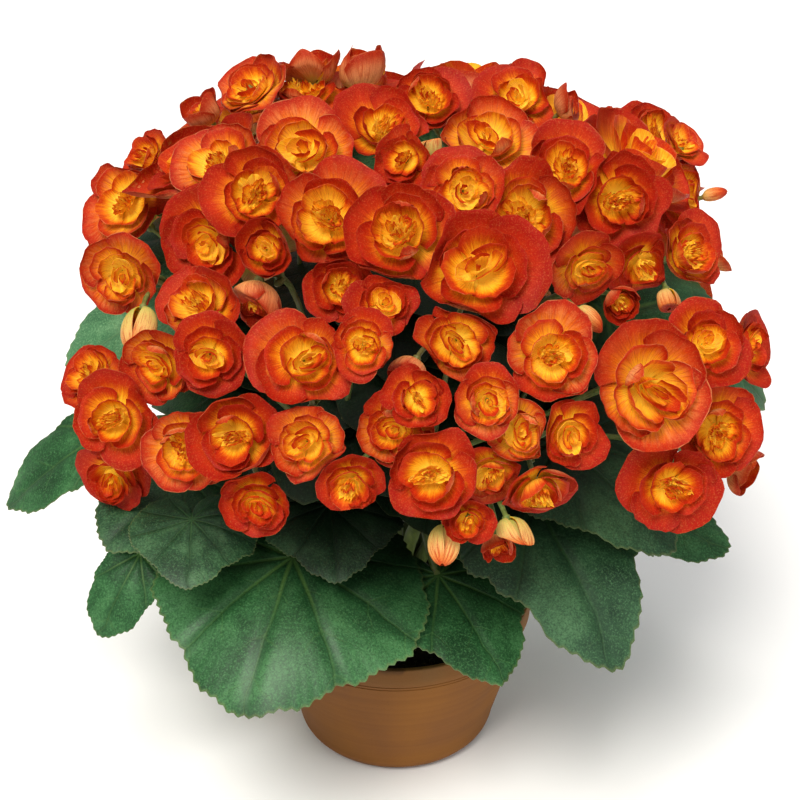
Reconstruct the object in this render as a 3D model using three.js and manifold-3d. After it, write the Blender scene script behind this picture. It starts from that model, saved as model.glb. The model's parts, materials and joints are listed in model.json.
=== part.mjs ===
// A potted begonia with double flowers: a clay-coloured pot, its soil, the branching stems, the
// toothed leaves and the cymes of orange blooms. Millimetres, +Z up, the front faces -Y, and the
// origin is the centre of the pot's flat foot.
import * as THREE from "three";
import { mergeVertices } from "three/addons/utils/BufferGeometryUtils.js";
import Module from "manifold-3d";

const wasm = await Module();
wasm.setup();

// ---- Driving dimensions -------------------------------------------------------------------
const pot = {
  rimRadius: 75, // a pot sold as 15 cm
  footRadius: 52,
  height: 91,
  wall: 3,
  floor: 5,
  footRound: 12, // the foot's rounded edge, outside
  innerRound: 5, // and inside
  bandHeight: 12, // the slightly thicker band under the rim
  bandStep: 0.6,
  drainRadius: 5,
  drainRing: 32,
  drains: 5,
  drainSides: 6,
  sides: 24,
};
// The soil's top is uneven and mounded: its profile in shares of its radius and of the mound.
const soil = {
  top: 77,
  edgeDrop: 2,
  gap: 0.6,
  mound: 4,
  profile: [[0.8, 0.4], [0.45, 0.8], [0, 1]],
  lump: 0.9,
  sides: 18,
};
const clear = 0.35; // free space kept between touching pieces

// The flowers stand on a dome and turn a little outwards from it. Its half-widths reach the
// blooms' outer petals.
const dome = { centre: [10, 0, 227], reach: [187, 178, 160], bloomInset: 13, outwardTurn: 0.25 };
const budOpenness = 0.1; // below this a flower is a shut bud
const crowding = 1.16; // a flower's whole width against what shows of it between its neighbours

// Where a bloom stands is read as it shows from the front: the view looks down on the plant.
const view = { elevation: 32, distance: 1150, aimHeight: 213, focal: 2179, axisAt: [396, 400] };

// One cyme is a forked flower stalk with its blooms and buds. Of each flower: where it shows, how
// far it measures across, how its face turns (right, up, towards the view), and, where it isn't
// plain, how far it stands behind the others (mm) and how open it is (1 is full, 0 a bud).
const flower = (x, y, across, look, sunk = 0, open = 1) => ({ x, y, across, look, sunk, open });
const shownCymes = [
  [flower(122, 208, 96, [-0.5, 0.1, 0.8]), flower(150, 152, 66, [-0.5, 0.5, 0.6], 12)],
  [flower(120, 268, 94, [-0.5, -0.25, 0.8], 2), flower(143, 313, 42, [0.1, -0.9, 0.3], 12, 0.05)],
  [flower(216, 163, 94, [-0.3, 0.4, 0.8], 2), flower(210, 116, 52, [-0.5, 0.6, 0.5], 8, 0.4)],
  [
    flower(250, 98, 88, [-0.7, 0.6, 0.3], 8),
    flower(305, 98, 88, [0.1, 0.5, 0.8], 8),
    flower(306, 148, 100, [0.1, 0.2, 0.9]),
  ],
  [flower(313, 70, 58, [-0.1, 0.9, 0.1], 16, 0.7), flower(358, 78, 50, [0.1, 0.95, 0.2], 4, 0.2)],
  [
    flower(378, 130, 90, [0.3, 0.3, 0.8], 6),
    flower(408, 160, 60, [-0.3, 0, 0.9], 12),
    flower(429, 158, 30, [0.1, 0.9, 0.4], 12, 0.05),
  ],
  [flower(428, 97, 78, [0.1, 0.2, 0.9]), flower(486, 138, 94, [0, 0.6, 0.6], 12)],
  [flower(516, 94, 80, [-0.1, 0.3, 0.9]), flower(558, 108, 42, [0.7, 0.4, 0.4], 6, 0.3)],
  [flower(214, 237, 88, [-0.2, -0.3, 0.9], 10), flower(250, 192, 94, [0.1, -0.1, 0.95])],
  [flower(328, 218, 112, [0, -0.1, 1], 4), flower(401, 231, 106, [0, 0, 1], -3)],
  [flower(462, 190, 88, [-0.1, 0.1, 1]), flower(521, 218, 100, [0, -0.3, 0.95], 8)],
  [flower(563, 168, 90, [0, 0.05, 1]), flower(608, 142, 80, [-0.1, 0.7, 0.4], 16)],
  [flower(648, 131, 72, [0.2, 0.3, 0.9], 4), flower(686, 152, 60, [0.8, 0.4, 0.4], 10)],
  [flower(618, 195, 100, [0, -0.25, 0.95]), flower(638, 260, 70, [0.1, -0.6, 0.7], 12)],
  [flower(688, 196, 78, [0.5, 0, 0.8], 4), flower(719, 196, 24, [0.9, 0.1, 0.3], 2, 0.05)],
  [flower(692, 252, 76, [0.4, -0.1, 0.9]), flower(665, 285, 34, [0, -0.95, 0.2], 12, 0.05)],
  [
    flower(616, 298, 44, [0.1, -0.5, 0.8], 10, 0.3),
    flower(583, 264, 68, [0.2, -0.6, 0.7], 8),
    flower(578, 308, 38, [0.6, -0.7, 0.3], 14, 0.05),
  ],
  [
    flower(478, 266, 120, [0, -0.15, 1]),
    flower(456, 340, 90, [0, -0.1, 1], 10),
    flower(416, 360, 48, [-0.4, -0.7, 0.2], 18, 0.25),
  ],
  [flower(264, 251, 62, [0.1, -0.1, 1], 2, 0.7), flower(258, 284, 56, [0, -0.9, 0.1], 16, 0.3)],
  [
    flower(199, 306, 84, [-0.2, 0.4, 0.8], 10),
    flower(210, 354, 84, [0, -0.1, 1]),
    flower(160, 364, 66, [-0.5, -0.5, 0.6], 12),
  ],
  [
    flower(97, 373, 72, [-0.3, 0.4, 0.8], 8),
    flower(119, 417, 94, [-0.1, -0.05, 1]),
    flower(113, 474, 80, [-0.2, -0.5, 0.8], 10),
  ],
  [
    flower(182, 446, 90, [-0.1, -0.2, 0.95], 10),
    flower(238, 435, 88, [0.05, 0, 1]),
    flower(258, 502, 78, [0, -0.45, 0.9], 6),
  ],
  [flower(303, 358, 108, [0, 0, 1]), flower(308, 442, 80, [0, 0, 1], 2)],
  [
    flower(363, 343, 72, [0, 0, 1], -4),
    flower(385, 304, 70, [0.1, 0, 1], 4),
    flower(340, 288, 66, [0, -0.2, 0.9], 18),
  ],
  [
    flower(353, 483, 70, [0, -0.5, 0.85], 4),
    flower(397, 426, 80, [-0.1, -0.15, 1], 10),
    flower(416, 398, 68, [0, 0, 1], -2),
  ],
  [
    flower(549, 354, 98, [0.1, 0, 1]),
    flower(489, 406, 68, [0, -0.1, 1]),
    flower(516, 432, 68, [0, -0.2, 0.95], 8),
  ],
  [flower(572, 431, 78, [0.2, -0.2, 0.95], 4), flower(537, 486, 78, [0.2, -0.7, 0.5], 12)],
  [
    flower(431, 475, 94, [0, -0.15, 1]),
    flower(471, 522, 52, [0, -0.35, 0.9], 3, 0.8),
    flower(443, 536, 40, [-0.1, -0.95, 0.2], 12, 0.05),
  ],
  [
    flower(490, 468, 60, [0.1, -0.5, 0.7], 14),
    flower(509, 524, 42, [0.3, -0.9, 0.1], 10, 0.05),
    flower(497, 546, 38, [0, -0.9, 0.4], 16, 0.3),
  ],
  [flower(653, 385, 136, [0.05, -0.1, 1], -4)],
  [flower(714, 345, 86, [0.2, 0.1, 0.95]), flower(750, 350, 74, [0.7, 0.1, 0.6], 8)],
  [
    flower(726, 433, 90, [0.15, 0, 1]),
    flower(668, 490, 100, [0, -0.35, 0.95], 2),
    flower(737, 474, 50, [0.7, -0.5, 0.4], 10, 0.6),
  ],
];

// Behind, cymes stand round the dome by rule, each with a low, a middle and a high bloom. Azimuths
// are in degrees from +X towards +Y, the jitter is in degrees, the inset and its jitter in mm.
const backCymes = {
  count: 6,
  levels: [
    { latitude: -2, from: 45, to: 140, across: 80 },
    { latitude: 25, from: 17, to: 163, across: 90 },
    { latitude: 51, from: 8, to: 172, across: 78 },
  ],
  jitter: 4,
  inset: 8,
  insetJitter: 3,
  turnJitter: 0.2,
};

// Leaves: the petiole's joint (mm), where the midrib heads (degrees from +X towards +Y) and how
// far it dips below level, the roll about it, the length from joint to tip, the width as a share
// of that, how far the blade droops by its tip (degrees), and how pointed the tip is (0 to 1).
const leaf = (name, joint, heading, dip, roll, length, wide, droop, point) => ({
  name, joint, heading, dip, roll, length, wide, droop, point,
});
const leaves = [
  leaf("leaf_front_left_large", [-53, -70, 160], -106, 14, -4, 86, 1.74, 32, 0.1),
  leaf("leaf_front_right_small", [22, -62, 145], -58, 14, 4, 67, 1.4, 24, 0.6),
  leaf("leaf_front_right_large", [68, -60, 195], -59, 24, 6, 99, 1.16, 28, 0.9),
  leaf("leaf_front_dark", [-34, -62, 189], -84, 14, 4, 48, 1.6, 26, 0.2),
  leaf("leaf_left_low", [-103, -76, 189], -88, 14, -4, 48, 1.5, 24, 0.3),
  leaf("leaf_left_front", [-107, -30, 186], -134, 8, -8, 64, 1.75, 26, 0.4),
  leaf("leaf_left_curled", [-133, -54, 152], -130, 40, -20, 48, 0.8, 28, 0.6),
  leaf("leaf_left_far", [-150, -5, 199], -171, 26, -18, 76, 0.66, 26, 1),
  leaf("leaf_left_high", [-108, 46, 248], -172, 14, -14, 82, 1.25, 30, 0.6),
  leaf("leaf_left_side", [-84, 22, 152], 168, 22, 0, 80, 1.3, 34, 0.5),
  leaf("leaf_right_dark", [82, -46, 218], -40, 14, 8, 80, 1.3, 28, 0.6),
  leaf("leaf_right_small", [112, -42, 175], -12, 10, 14, 66, 0.72, 18, 0.9),
  leaf("leaf_right_high", [112, 40, 239], -8, 14, 14, 102, 1.15, 46, 0.7),
  leaf("leaf_right_side", [88, 18, 152], 8, 24, 0, 82, 1.3, 34, 0.5),
  leaf("leaf_top", [18, 84, 322], 86, 2, 0, 60, 1.5, 24, 0.5),
  leaf("leaf_back_right", [80, 82, 186], 44, 16, 0, 100, 1.4, 36, 0.5),
  leaf("leaf_back_middle", [14, 92, 160], 86, 18, 0, 92, 1.5, 34, 0.4),
  leaf("leaf_back_left", [-62, 84, 180], 132, 16, 0, 102, 1.4, 36, 0.5),
  leaf("leaf_left_top", [-96, 56, 282], 166, 8, -14, 58, 1.1, 20, 0.5),
];

// Inside the plant a whorl of leaves stands on the middle shoot by rule. They close the view down
// to the soil between the flowers.
const whorl = {
  count: 4, ring: 14, height: 198, step: 8, from: 30, turnJitter: 6, dip: 10, dipJitter: 5,
  length: 66, wide: 1.3, droop: 30, point: 0.5, teeth: 8, innerPoints: 3,
};

// The shoots branch from one crown in the soil, each to its fork inside the plant. The first
// stands in the middle and goes higher.
const crown = { radius: 12, from: 50, top: 87, bevel: 4, sides: 8 };
const shoots = {
  count: 9,
  ring: 7,
  from: 84,
  radius: 4.2,
  taper: 0.6,
  sides: 5,
  forkRadius: 58,
  forkHeight: 217,
  middleLift: 50,
  beadRadius: 5,
  radiusJitter: 6,
  heightJitter: 10,
  turn: 0.3,
};
const cymeDepth = 30; // mm from a cyme's fork to its flowers
const stalk = { cymeRadius: 1.4, armRadius: 1.25, forkRadius: 3, petioleRadius: 2.1, whorlRadius: 1.6 };
const petioleStart = 0.6; // the share of a shoot at which its petioles leave
const taper = 0.8; // a stem's end against its start
const blade = { petal: 1.8, leaf: 1.5 }; // thickness at the middle, thinner at the edge
const stalkEnd = { radius: 1.9, depth: 2.5 }; // where the petals' back narrows into the stalk

// How the stems bend: where the two middle points of each curve stand, in shares of its length.
const bends = {
  shoot: { out: 0.12, rise: 0.3, end: 0.25 },
  stalk: { start: 0.33, end: 0.4 },
  arm: { start: 0.3, end: 0.35 },
  petiole: { start: 0.2, rise: 0.1, end: 0.25 },
  whorl: { start: 0.3, end: 0.7 },
};
const petioleInset = 1; // mm behind the joint, where a petiole ends under its blade

// How crowded flowers press on each other.
const pressing = {
  flatness: 0.42, // a flower's depth as a share of its radius
  middle: 0.3, // how far its middle stands before its foot, as a share of its radius
  reach: 1.2, // how near flowers press, as a share of their radii
  share: [0.3, 0.7], // where between two flowers their plane may stand
  from: 4, // mm from the plane where petals start to bend
  to: 0.3, // mm from the plane that they may reach
  rounds: 12,
};

// A double flower in shares of its radius: how far each ring of it reaches from the axis and how
// far it rises, when the flower is shut and when it is wide open.
const rosette = {
  valley: { reach: [0.3, 0.44], rise: [0.26, 0.16], points: 5 }, // behind the middle petals
  guard: {
    petals: 4, stagger: 0.05,
    reach: [0.6, 1], rise: [1.1, 0.36], notchReach: [0.5, 0.74], notchRise: [0.8, 0.28],
  },
  middle: {
    petals: 3, stagger: 0,
    reach: [0.42, 0.66], rise: [1, 0.58], notchReach: [0.34, 0.48], notchRise: [0.8, 0.42],
  },
  hollow: { reach: [0.22, 0.34], rise: [0.6, 0.34], points: 5 }, // before the middle petals
  heart: { reach: [0.18, 0.27], rise: [0.95, 0.62], points: 4 },
  tip: [0.7, 0.5], // the middle of the heart
  unevenRise: 0.04, // between a flower's petals
  unevenReach: 0.06,
};
// A petal's edge: places along it, as shares of half its width, and how far it stands out there.
const petalEdge = {
  full: [[-0.62, 0.96], [0, 1.04], [0.62, 0.96]],
  small: [[-0.5, 1], [0.5, 1]],
};
const smallFlower = 19; // mm, the radius up to which a guard petal's edge has fewer points
const bud = {
  rings: [
    { points: 5, reach: 0.42, rise: 0.3 },
    { points: 5, reach: 0.62, rise: 0.95 },
    { points: 5, reach: 0.36, rise: 1.6 },
  ],
  tip: 1.85,
  flatness: 0.62, // its thickness against its width
};

// The form of every leaf, in shares of its length where nothing else is said.
const leafForm = {
  smallerHalf: 0.93, // one half of a begonia leaf is smaller
  tipShare: 0.3, // of the midrib, drawn out into the narrow tip
  tipAngle: 0.38, // half the angle that the tip fills, in radians
  basal: 0.45, // how much shorter it is behind the joint
  notch: 0.7, // how deep the notch behind the joint is cut
  notchAngle: 0.22,
  lobes: 0.05,
  lobesPerRadian: 5.2,
  teeth: 17,
  tooth: 0.075, // a tooth's depth as a share of the reach
  innerPoints: 7,
  innerRing: 0.55, // where the ring of points inside the outline stands
  hang: 0.16, // how far the halves hang, over the square of the distance from the midrib
  wave: 0.022,
  stiffBase: 0.3, // no bend further behind the joint than this
};

// ---- Colours ------------------------------------------------------------------------------
const material = (color, roughness) => new THREE.MeshStandardMaterial({ color, roughness, metalness: 0 });
const clay = material(0x9a6234, 0.8);
const earth = material(0x2a1c14, 1);
const stemGreen = material(0x6f7a3c, 0.6);
const leafGreen = material(0x2f5c38, 0.55);
const petalOrange = material(0xd8481c, 0.5);

// ---- Small helpers ------------------------------------------------------------------------
const { degToRad: rad, lerp, clamp, smoothstep } = THREE.MathUtils;
const vec = (x, y, z) => new THREE.Vector3(x, y, z);
const sum = (...parts) => parts.reduce((all, p) => all.add(p), vec(0, 0, 0));
const times = (v, k) => v.clone().multiplyScalar(k);

// A repeatable draw between -1 and 1 for the index-th thing and one of its traits.
const draw = (index, trait) => {
  const s = Math.sin(index * 12.9898 + trait * 78.233) * 43758.5453;
  return 2 * (s - Math.floor(s)) - 1;
};

// A closed mesh of points and triangles as a solid that can be joined and cut.
const solidOf = (points, triangles) =>
  new wasm.Manifold(
    new wasm.Mesh({
      numProp: 3,
      vertProperties: new Float32Array(points.flatMap((p) => [p.x, p.y, p.z])),
      triVerts: new Uint32Array(triangles.flat()),
    }),
  );

const solidOfGeometry = (geometry) => {
  const bare = geometry.clone();
  bare.deleteAttribute("normal");
  bare.deleteAttribute("uv");
  const merged = mergeVertices(bare, 1e-4);
  return new wasm.Manifold(
    new wasm.Mesh({
      numProp: 3,
      vertProperties: merged.attributes.position.array,
      triVerts: new Uint32Array(merged.index.array),
    }),
  );
};

const join = (solids) => wasm.Manifold.union(solids);

// The largest piece of a solid: scraps that a cut leaves loose are dropped.
const largest = (solid) =>
  solid.decompose().reduce((best, s) => (s.volume() > best.volume() ? s : best));

const meshOf = (name, solid, look) => {
  const { numProp, vertProperties, triVerts } = solid.getMesh();
  const positions = new Float32Array((vertProperties.length / numProp) * 3);
  for (let i = 0; i < positions.length / 3; i++)
    positions.set(vertProperties.subarray(i * numProp, i * numProp + 3), i * 3);
  const geometry = new THREE.BufferGeometry()
    .setAttribute("position", new THREE.BufferAttribute(positions, 3))
    .setIndex(new THREE.BufferAttribute(new Uint32Array(triVerts), 1));
  geometry.computeVertexNormals();
  const mesh = new THREE.Mesh(geometry, look);
  mesh.name = name;
  return mesh;
};

// Triangles between two rings of points round one axis, whatever their counts, for rings that run
// the same way round. They face away from the axis.
function band(first, firstCount, second, secondCount) {
  const triangles = [];
  let i = 0;
  let j = 0;
  while (i < firstCount || j < secondCount) {
    const a = first + (i % firstCount);
    const b = second + (j % secondCount);
    const firstIsBehind = i < firstCount && (i + 0.5) / firstCount < (j + 0.5) / secondCount;
    if (firstIsBehind || j >= secondCount) {
      i += 1;
      triangles.push([a, first + (i % firstCount), b]);
    } else {
      j += 1;
      triangles.push([a, second + (j % secondCount), b]);
    }
  }
  return triangles;
}

// A closed solid through rings of points, flat at its start and ending in a tip, or flat as well.
function skin(rings, tip) {
  const points = rings.flat();
  const triangles = [];
  let start = 0;
  for (let k = 1; k < rings[0].length - 1; k++) triangles.push([0, k + 1, k]);
  rings.slice(1).forEach((ring, i) => {
    const next = start + rings[i].length;
    triangles.push(...band(start, rings[i].length, next, ring.length));
    start = next;
  });
  const count = rings[rings.length - 1].length;
  if (tip) points.push(tip);
  for (let k = 0; k < count; k++) {
    const a = start + k;
    const b = start + ((k + 1) % count);
    if (tip) triangles.push([a, b, start + count]);
    else if (k > 0 && k < count - 1) triangles.push([start, a, b]);
  }
  return solidOf(points, triangles);
}

// A regular ring of points round a middle, across the axis that the two directions are square to.
const ringOf = (middle, across, other, radius, sides) =>
  Array.from({ length: sides }, (_, k) => {
    const turn = (2 * Math.PI * k) / sides;
    return sum(middle, times(across, radius * Math.cos(turn)), times(other, radius * Math.sin(turn)));
  });

// Rings round a curve, as of a stem of a few sides, thinner towards its end.
function stemRings(curve, startRadius, endRadius, sides, steps, side = vec(0.3, 1, 0.2)) {
  const across = side.clone();
  const rings = [];
  for (let i = steps; i >= 0; i--) {
    const along = curve.getTangent(i / steps);
    across.addScaledVector(along, -across.dot(along)).normalize();
    const other = along.clone().cross(across);
    const radius = lerp(startRadius, endRadius, i / steps);
    rings.unshift(ringOf(curve.getPoint(i / steps), across, other, radius, sides));
  }
  return rings;
}

const stem = (curve, startRadius, endRadius, sides, steps, extra = 0) =>
  skin(stemRings(curve, startRadius + extra, endRadius + extra, sides, steps));

// ---- Pot and soil -------------------------------------------------------------------------
const potLean = (pot.rimRadius - pot.bandStep - pot.footRadius) / (pot.height - pot.bandHeight);
const potOuter = (z) => pot.footRadius + potLean * z;

// The inside's profile from the wall at height top down to the middle of the floor.
const potInside = (top, gap) => {
  const shoulder = pot.floor + pot.footRound;
  return [
    [potOuter(top) - pot.wall - gap, top],
    [potOuter(shoulder) - pot.wall - gap, shoulder + gap / 2],
    [potOuter(pot.floor) - pot.wall - pot.innerRound - gap, pot.floor + gap],
    [0, pot.floor + gap],
  ];
};

const lathe = (profile, sides) => {
  const turned = new THREE.LatheGeometry(profile.map(([r, z]) => new THREE.Vector2(r, z)), sides);
  return turned.rotateX(Math.PI / 2);
};

function makePot() {
  const { rimRadius, height, wall, footRound, bandHeight, bandStep, sides } = pot;
  const corner = potOuter(footRound) - footRound;
  const profile = [[0, 0]];
  for (const turn of [0, Math.PI / 4, Math.PI / 2])
    profile.push([corner + footRound * Math.sin(turn), footRound * (1 - Math.cos(turn))]);
  profile.push([potOuter(height - bandHeight), height - bandHeight]);
  profile.push([rimRadius, height - bandHeight + bandStep], [rimRadius, height]);
  profile.push([rimRadius - wall, height], ...potInside(height - bandHeight, 0));
  let solid = solidOfGeometry(lathe(profile, sides));
  for (let i = 0; i < pot.drains; i++) {
    const turn = (2 * Math.PI * (i + 0.5)) / pot.drains;
    const { drainRadius, drainSides, floor } = pot;
    const hole = new THREE.CylinderGeometry(drainRadius, drainRadius, 3 * floor, drainSides);
    hole.rotateX(Math.PI / 2);
    hole.translate(pot.drainRing * Math.cos(turn), pot.drainRing * Math.sin(turn), pot.floor / 2);
    solid = solid.subtract(solidOfGeometry(hole));
  }
  return solid;
}

// The soil fills the pot to a little under its rim, with an uneven, slightly mounded top.
function makeSoil(fatCrown) {
  const edge = soil.top - soil.edgeDrop;
  const rim = potOuter(edge) - pot.wall - soil.gap;
  const mound = soil.profile.map(([out, up]) => [rim * out, soil.top + soil.mound * up]);
  const profile = [...potInside(edge, soil.gap).reverse(), ...mound];
  const body = lathe(profile, soil.sides);
  const places = body.attributes.position;
  for (let i = 0; i < places.count; i++) {
    const [x, y, z] = [places.getX(i), places.getY(i), places.getZ(i)];
    const lumps = Math.sin(0.31 * x + 0.17 * y) + Math.sin(0.37 * y - 0.11 * x);
    if (z > soil.top) places.setZ(i, z + lumps * soil.lump);
  }
  return largest(solidOfGeometry(body).subtract(fatCrown));
}

// ---- Where the flowers stand --------------------------------------------------------------
const sight = {
  forward: vec(0, Math.cos(rad(view.elevation)), -Math.sin(rad(view.elevation))),
  right: vec(1, 0, 0),
  up: vec(0, Math.sin(rad(view.elevation)), Math.cos(rad(view.elevation))),
};
sight.eye = vec(0, 0, view.aimHeight).addScaledVector(sight.forward, -view.distance);

// The point of the dome, shrunk by the given inset, that shows at a place of the view.
function onDome(x, y, inset) {
  const ray = sum(
    times(sight.forward, view.focal),
    times(sight.right, x - view.axisAt[0]),
    times(sight.up, view.axisAt[1] - y),
  ).normalize();
  const reach = dome.reach.map((r) => r - inset);
  const scaled = (v) => vec(v.x / reach[0], v.y / reach[1], v.z / reach[2]);
  const from = scaled(sight.eye.clone().sub(vec(...dome.centre)));
  const along = scaled(ray);
  const a = along.dot(along);
  const b = from.dot(along);
  const c = from.dot(from) - 1;
  const root = Math.sqrt(Math.max(0, b * b - a * c));
  return sight.eye.clone().addScaledVector(ray, (-b - root) / a);
}

function shownFlower({ x, y, across, look, sunk, open }) {
  const place = onDome(x, y, dome.bloomInset + sunk);
  const depth = place.clone().sub(sight.eye).dot(sight.forward);
  const facing = sum(
    times(sight.right, look[0]),
    times(sight.up, look[1]),
    times(sight.forward, -look[2]),
  ).normalize();
  const outward = place.clone().sub(vec(...dome.centre)).normalize();
  facing.addScaledVector(outward, dome.outwardTurn).normalize();
  return { place, facing, radius: (crowding * (across / 2) * depth) / view.focal, open };
}

function backFlower(cyme, level) {
  const { jitter, inset, insetJitter, turnJitter } = backCymes;
  const { latitude, from, to, across } = backCymes.levels[level];
  const index = cyme * 3 + level;
  const share = cyme / (backCymes.count - 1);
  const azimuth = rad(lerp(from, to, share) + jitter * draw(index, 1));
  const height = rad(latitude + jitter * draw(index, 2));
  const depth = dome.bloomInset + inset + insetJitter * draw(index, 3);
  const out = vec(
    Math.cos(azimuth) * Math.cos(height),
    Math.sin(azimuth) * Math.cos(height),
    Math.sin(height),
  );
  const place = vec(...dome.centre.map((c, i) => c + out.getComponent(i) * (dome.reach[i] - depth)));
  const turned = vec(turnJitter * draw(index, 4), turnJitter * draw(index, 5), dome.outwardTurn);
  return { place, facing: out.clone().add(turned).normalize(), radius: across / 2, open: 1 };
}

const cymes = [
  ...shownCymes.map((cyme) => cyme.map(shownFlower)),
  ...Array.from({ length: backCymes.count }, (_, i) => [0, 1, 2].map((level) => backFlower(i, level))),
];
const flowers = cymes.flat();
flowers.forEach((f, i) => {
  f.index = i;
  f.middle = f.place.clone().addScaledVector(f.facing, pressing.middle * f.radius);
});

// ---- Petals -------------------------------------------------------------------------------
// Crowded flowers press on each other. Between two neighbours stands a plane, tilted as two flat
// rosettes that overlap would lean, and no petal crosses it.
function stretched(f, v) {
  const axial = f.facing.dot(v);
  const across = v.clone().addScaledVector(f.facing, -axial);
  const depth = pressing.flatness * f.radius;
  return times(across, 1 / f.radius ** 2).addScaledVector(f.facing, axial / depth ** 2);
}

function neighbourPlanes(f) {
  const planes = [];
  for (const g of flowers) {
    if (g === f) continue;
    const between = g.middle.clone().sub(f.middle);
    if (between.length() > pressing.reach * (f.radius + g.radius)) continue;
    const nearF = Math.sqrt(stretched(f, between).dot(between));
    const nearG = Math.sqrt(stretched(g, between).dot(between));
    const share = clamp(nearG / (nearF + nearG), ...pressing.share);
    const normal = stretched(f, between).add(stretched(g, between)).normalize().negate();
    const point = f.middle.clone().addScaledVector(between, share);
    planes.push({ normal, offset: normal.dot(point) });
  }
  return planes;
}

function press(point, planes) {
  const p = point.clone();
  const soft = pressing.from - pressing.to;
  for (const { normal, offset } of planes) {
    const gap = normal.dot(p) - offset;
    const pressed = pressing.to + soft * Math.exp((gap - pressing.from) / soft);
    if (gap < pressing.from) p.addScaledVector(normal, pressed - gap);
  }
  for (let round = 0; round < pressing.rounds; round++)
    for (const { normal, offset } of planes) {
      const gap = normal.dot(p) - offset;
      if (gap < pressing.to) p.addScaledVector(normal, pressing.to - gap);
    }
  return p;
}

// A ring of petal edges round the flower's axis. Each lobe is one petal: its points stand out to
// the reach and rise to the height, and its neighbours' edges meet it further in, in a notch.
// Every ring starts at the same angle, so that the petals' two faces are split alike.
function petalRing(f, form, edge, by) {
  const { petals, stagger } = form;
  const half = Math.PI / petals;
  const start = -edge[0][0] * half;
  const ring = [];
  for (let k = 0; k < petals; k++) {
    const middle = start + 2 * half * k;
    const outer = k % 2 ? 1 : -1;
    const rise = by(form.rise) + stagger * outer + rosette.unevenRise * draw(f.index, 20 + k);
    const grow = 1 - (stagger * outer) / 2 + rosette.unevenReach * draw(f.index, 30 + k);
    for (const [share, size] of edge)
      ring.push({ angle: middle + share * half, reach: by(form.reach) * size * grow, rise });
    ring.push({ angle: middle + half, reach: by(form.notchReach), rise: by(form.notchRise) });
  }
  return ring;
}

const plainRing = ({ points, reach, rise }) =>
  Array.from({ length: points }, (_, k) => ({ angle: (2 * Math.PI * k) / points, reach, rise }));

// The rings of one flower from its stalk outwards. A double flower goes up the back of the guard
// petals to their edge, in to the valley behind the middle petals, over their edge, in again, and
// over the small petals of the heart. An opening flower is the same, but closer. A shut bud is two
// clasped petals, flat from front to back.
function rosetteRings(f) {
  const by = ([shut, wide]) => lerp(shut, wide, f.open);
  const ringAt = ({ points, reach, rise }, below = 0) =>
    plainRing({ points, reach: by(reach), rise: by(rise) - below / f.radius });
  const { valley, guard, middle, hollow, heart, tip } = rosette;
  const rings = [
    ringAt(valley, blade.petal),
    petalRing(f, guard, f.radius > smallFlower ? petalEdge.full : petalEdge.small, by),
    ringAt(valley),
    petalRing(f, middle, petalEdge.small, by),
    ringAt(hollow),
    ringAt(heart),
  ];
  return { rings, tip: by(tip) };
}

const budRings = () => ({ rings: bud.rings.map(plainRing), tip: bud.tip });

// Two directions across a flower's axis, from which its petals' angles are counted: each flower is
// turned its own way about the axis.
function acrossAxis(f) {
  const toFace = new THREE.Quaternion().setFromUnitVectors(vec(0, 0, 1), f.facing);
  const turn = Math.PI * draw(f.index, 6);
  return [vec(1, 0, 0), vec(0, 1, 0)].map((v) => v.applyQuaternion(toFace).applyAxisAngle(f.facing, turn));
}

// The rings of the stalk's arm up to the foot of its flower: the last ring is the flower's foot.
function armRings(f, arm, extra) {
  const planes = neighbourPlanes(f);
  const foot = f.place.clone().addScaledVector(f.facing, -stalkEnd.depth);
  const [across, other] = acrossAxis(f);
  const pressed = press(foot, planes).sub(foot);
  const footRing = ringOf(foot, across, other, stalkEnd.radius + extra, 3).map((p) => p.add(pressed));
  if (!arm) return [footRing];
  const rings = stemRings(arm, stalk.armRadius / taper + extra, stalk.armRadius + extra, 3, 2, across);
  return [...rings.slice(0, 2), footRing];
}

// A flower or bud as one solid with its own arm of the stalk, if it has one.
function flowerSolid(f, arm) {
  const planes = neighbourPlanes(f);
  const shut = f.open < budOpenness;
  const [across, other] = acrossAxis(f);
  const toPlace = ({ angle, reach, rise }) => {
    const x = f.radius * reach * Math.cos(angle);
    const y = f.radius * reach * Math.sin(angle) * (shut ? bud.flatness : 1);
    const z = f.radius * rise;
    return press(sum(f.place, times(across, x), times(other, y), times(f.facing, z)), planes);
  };
  const { rings, tip } = shut ? budRings() : rosetteRings(f);
  const petals = rings.map((ring) => ring.map(toPlace));
  return skin([...armRings(f, arm, 0), ...petals], toPlace({ angle: 0, reach: 0, rise: tip }));
}

// ---- Stems --------------------------------------------------------------------------------
const bezier = (a, b, c, d) => new THREE.CubicBezierCurve3(a, b, c, d);

// A shoot rises from the crown and forks inside the plant. The middle one goes highest.
const forks = Array.from({ length: shoots.count }, (_, k) => {
  const turn = (2 * Math.PI * k) / (shoots.count - 1) + shoots.turn;
  const out = vec(Math.cos(turn), Math.sin(turn), 0);
  const reach = shoots.forkRadius + shoots.radiusJitter * draw(k, 11);
  const height = shoots.forkHeight + shoots.heightJitter * draw(k, 13);
  if (k === 0)
    return { foot: vec(0, 0, shoots.from), top: vec(0, 0, shoots.forkHeight + shoots.middleLift) };
  return {
    foot: times(out, shoots.ring).add(vec(0, 0, shoots.from)),
    top: times(out, reach).add(vec(0, 0, height)),
  };
});
function shootCurve({ foot, top }) {
  const lift = top.z - foot.z;
  const { out, rise, end } = bends.shoot;
  const low = foot.clone().lerp(top, out).add(vec(0, 0, lift * rise));
  return bezier(foot, low, top.clone().add(vec(0, 0, -lift * end)), top);
}

// The thickened node where a stem forks: an eight-sided bead.
const bead = (centre, radius) => {
  const turned = new THREE.OctahedronGeometry(radius).rotateY(0.6);
  return solidOfGeometry(turned.translate(centre.x, centre.y, centre.z));
};

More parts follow.
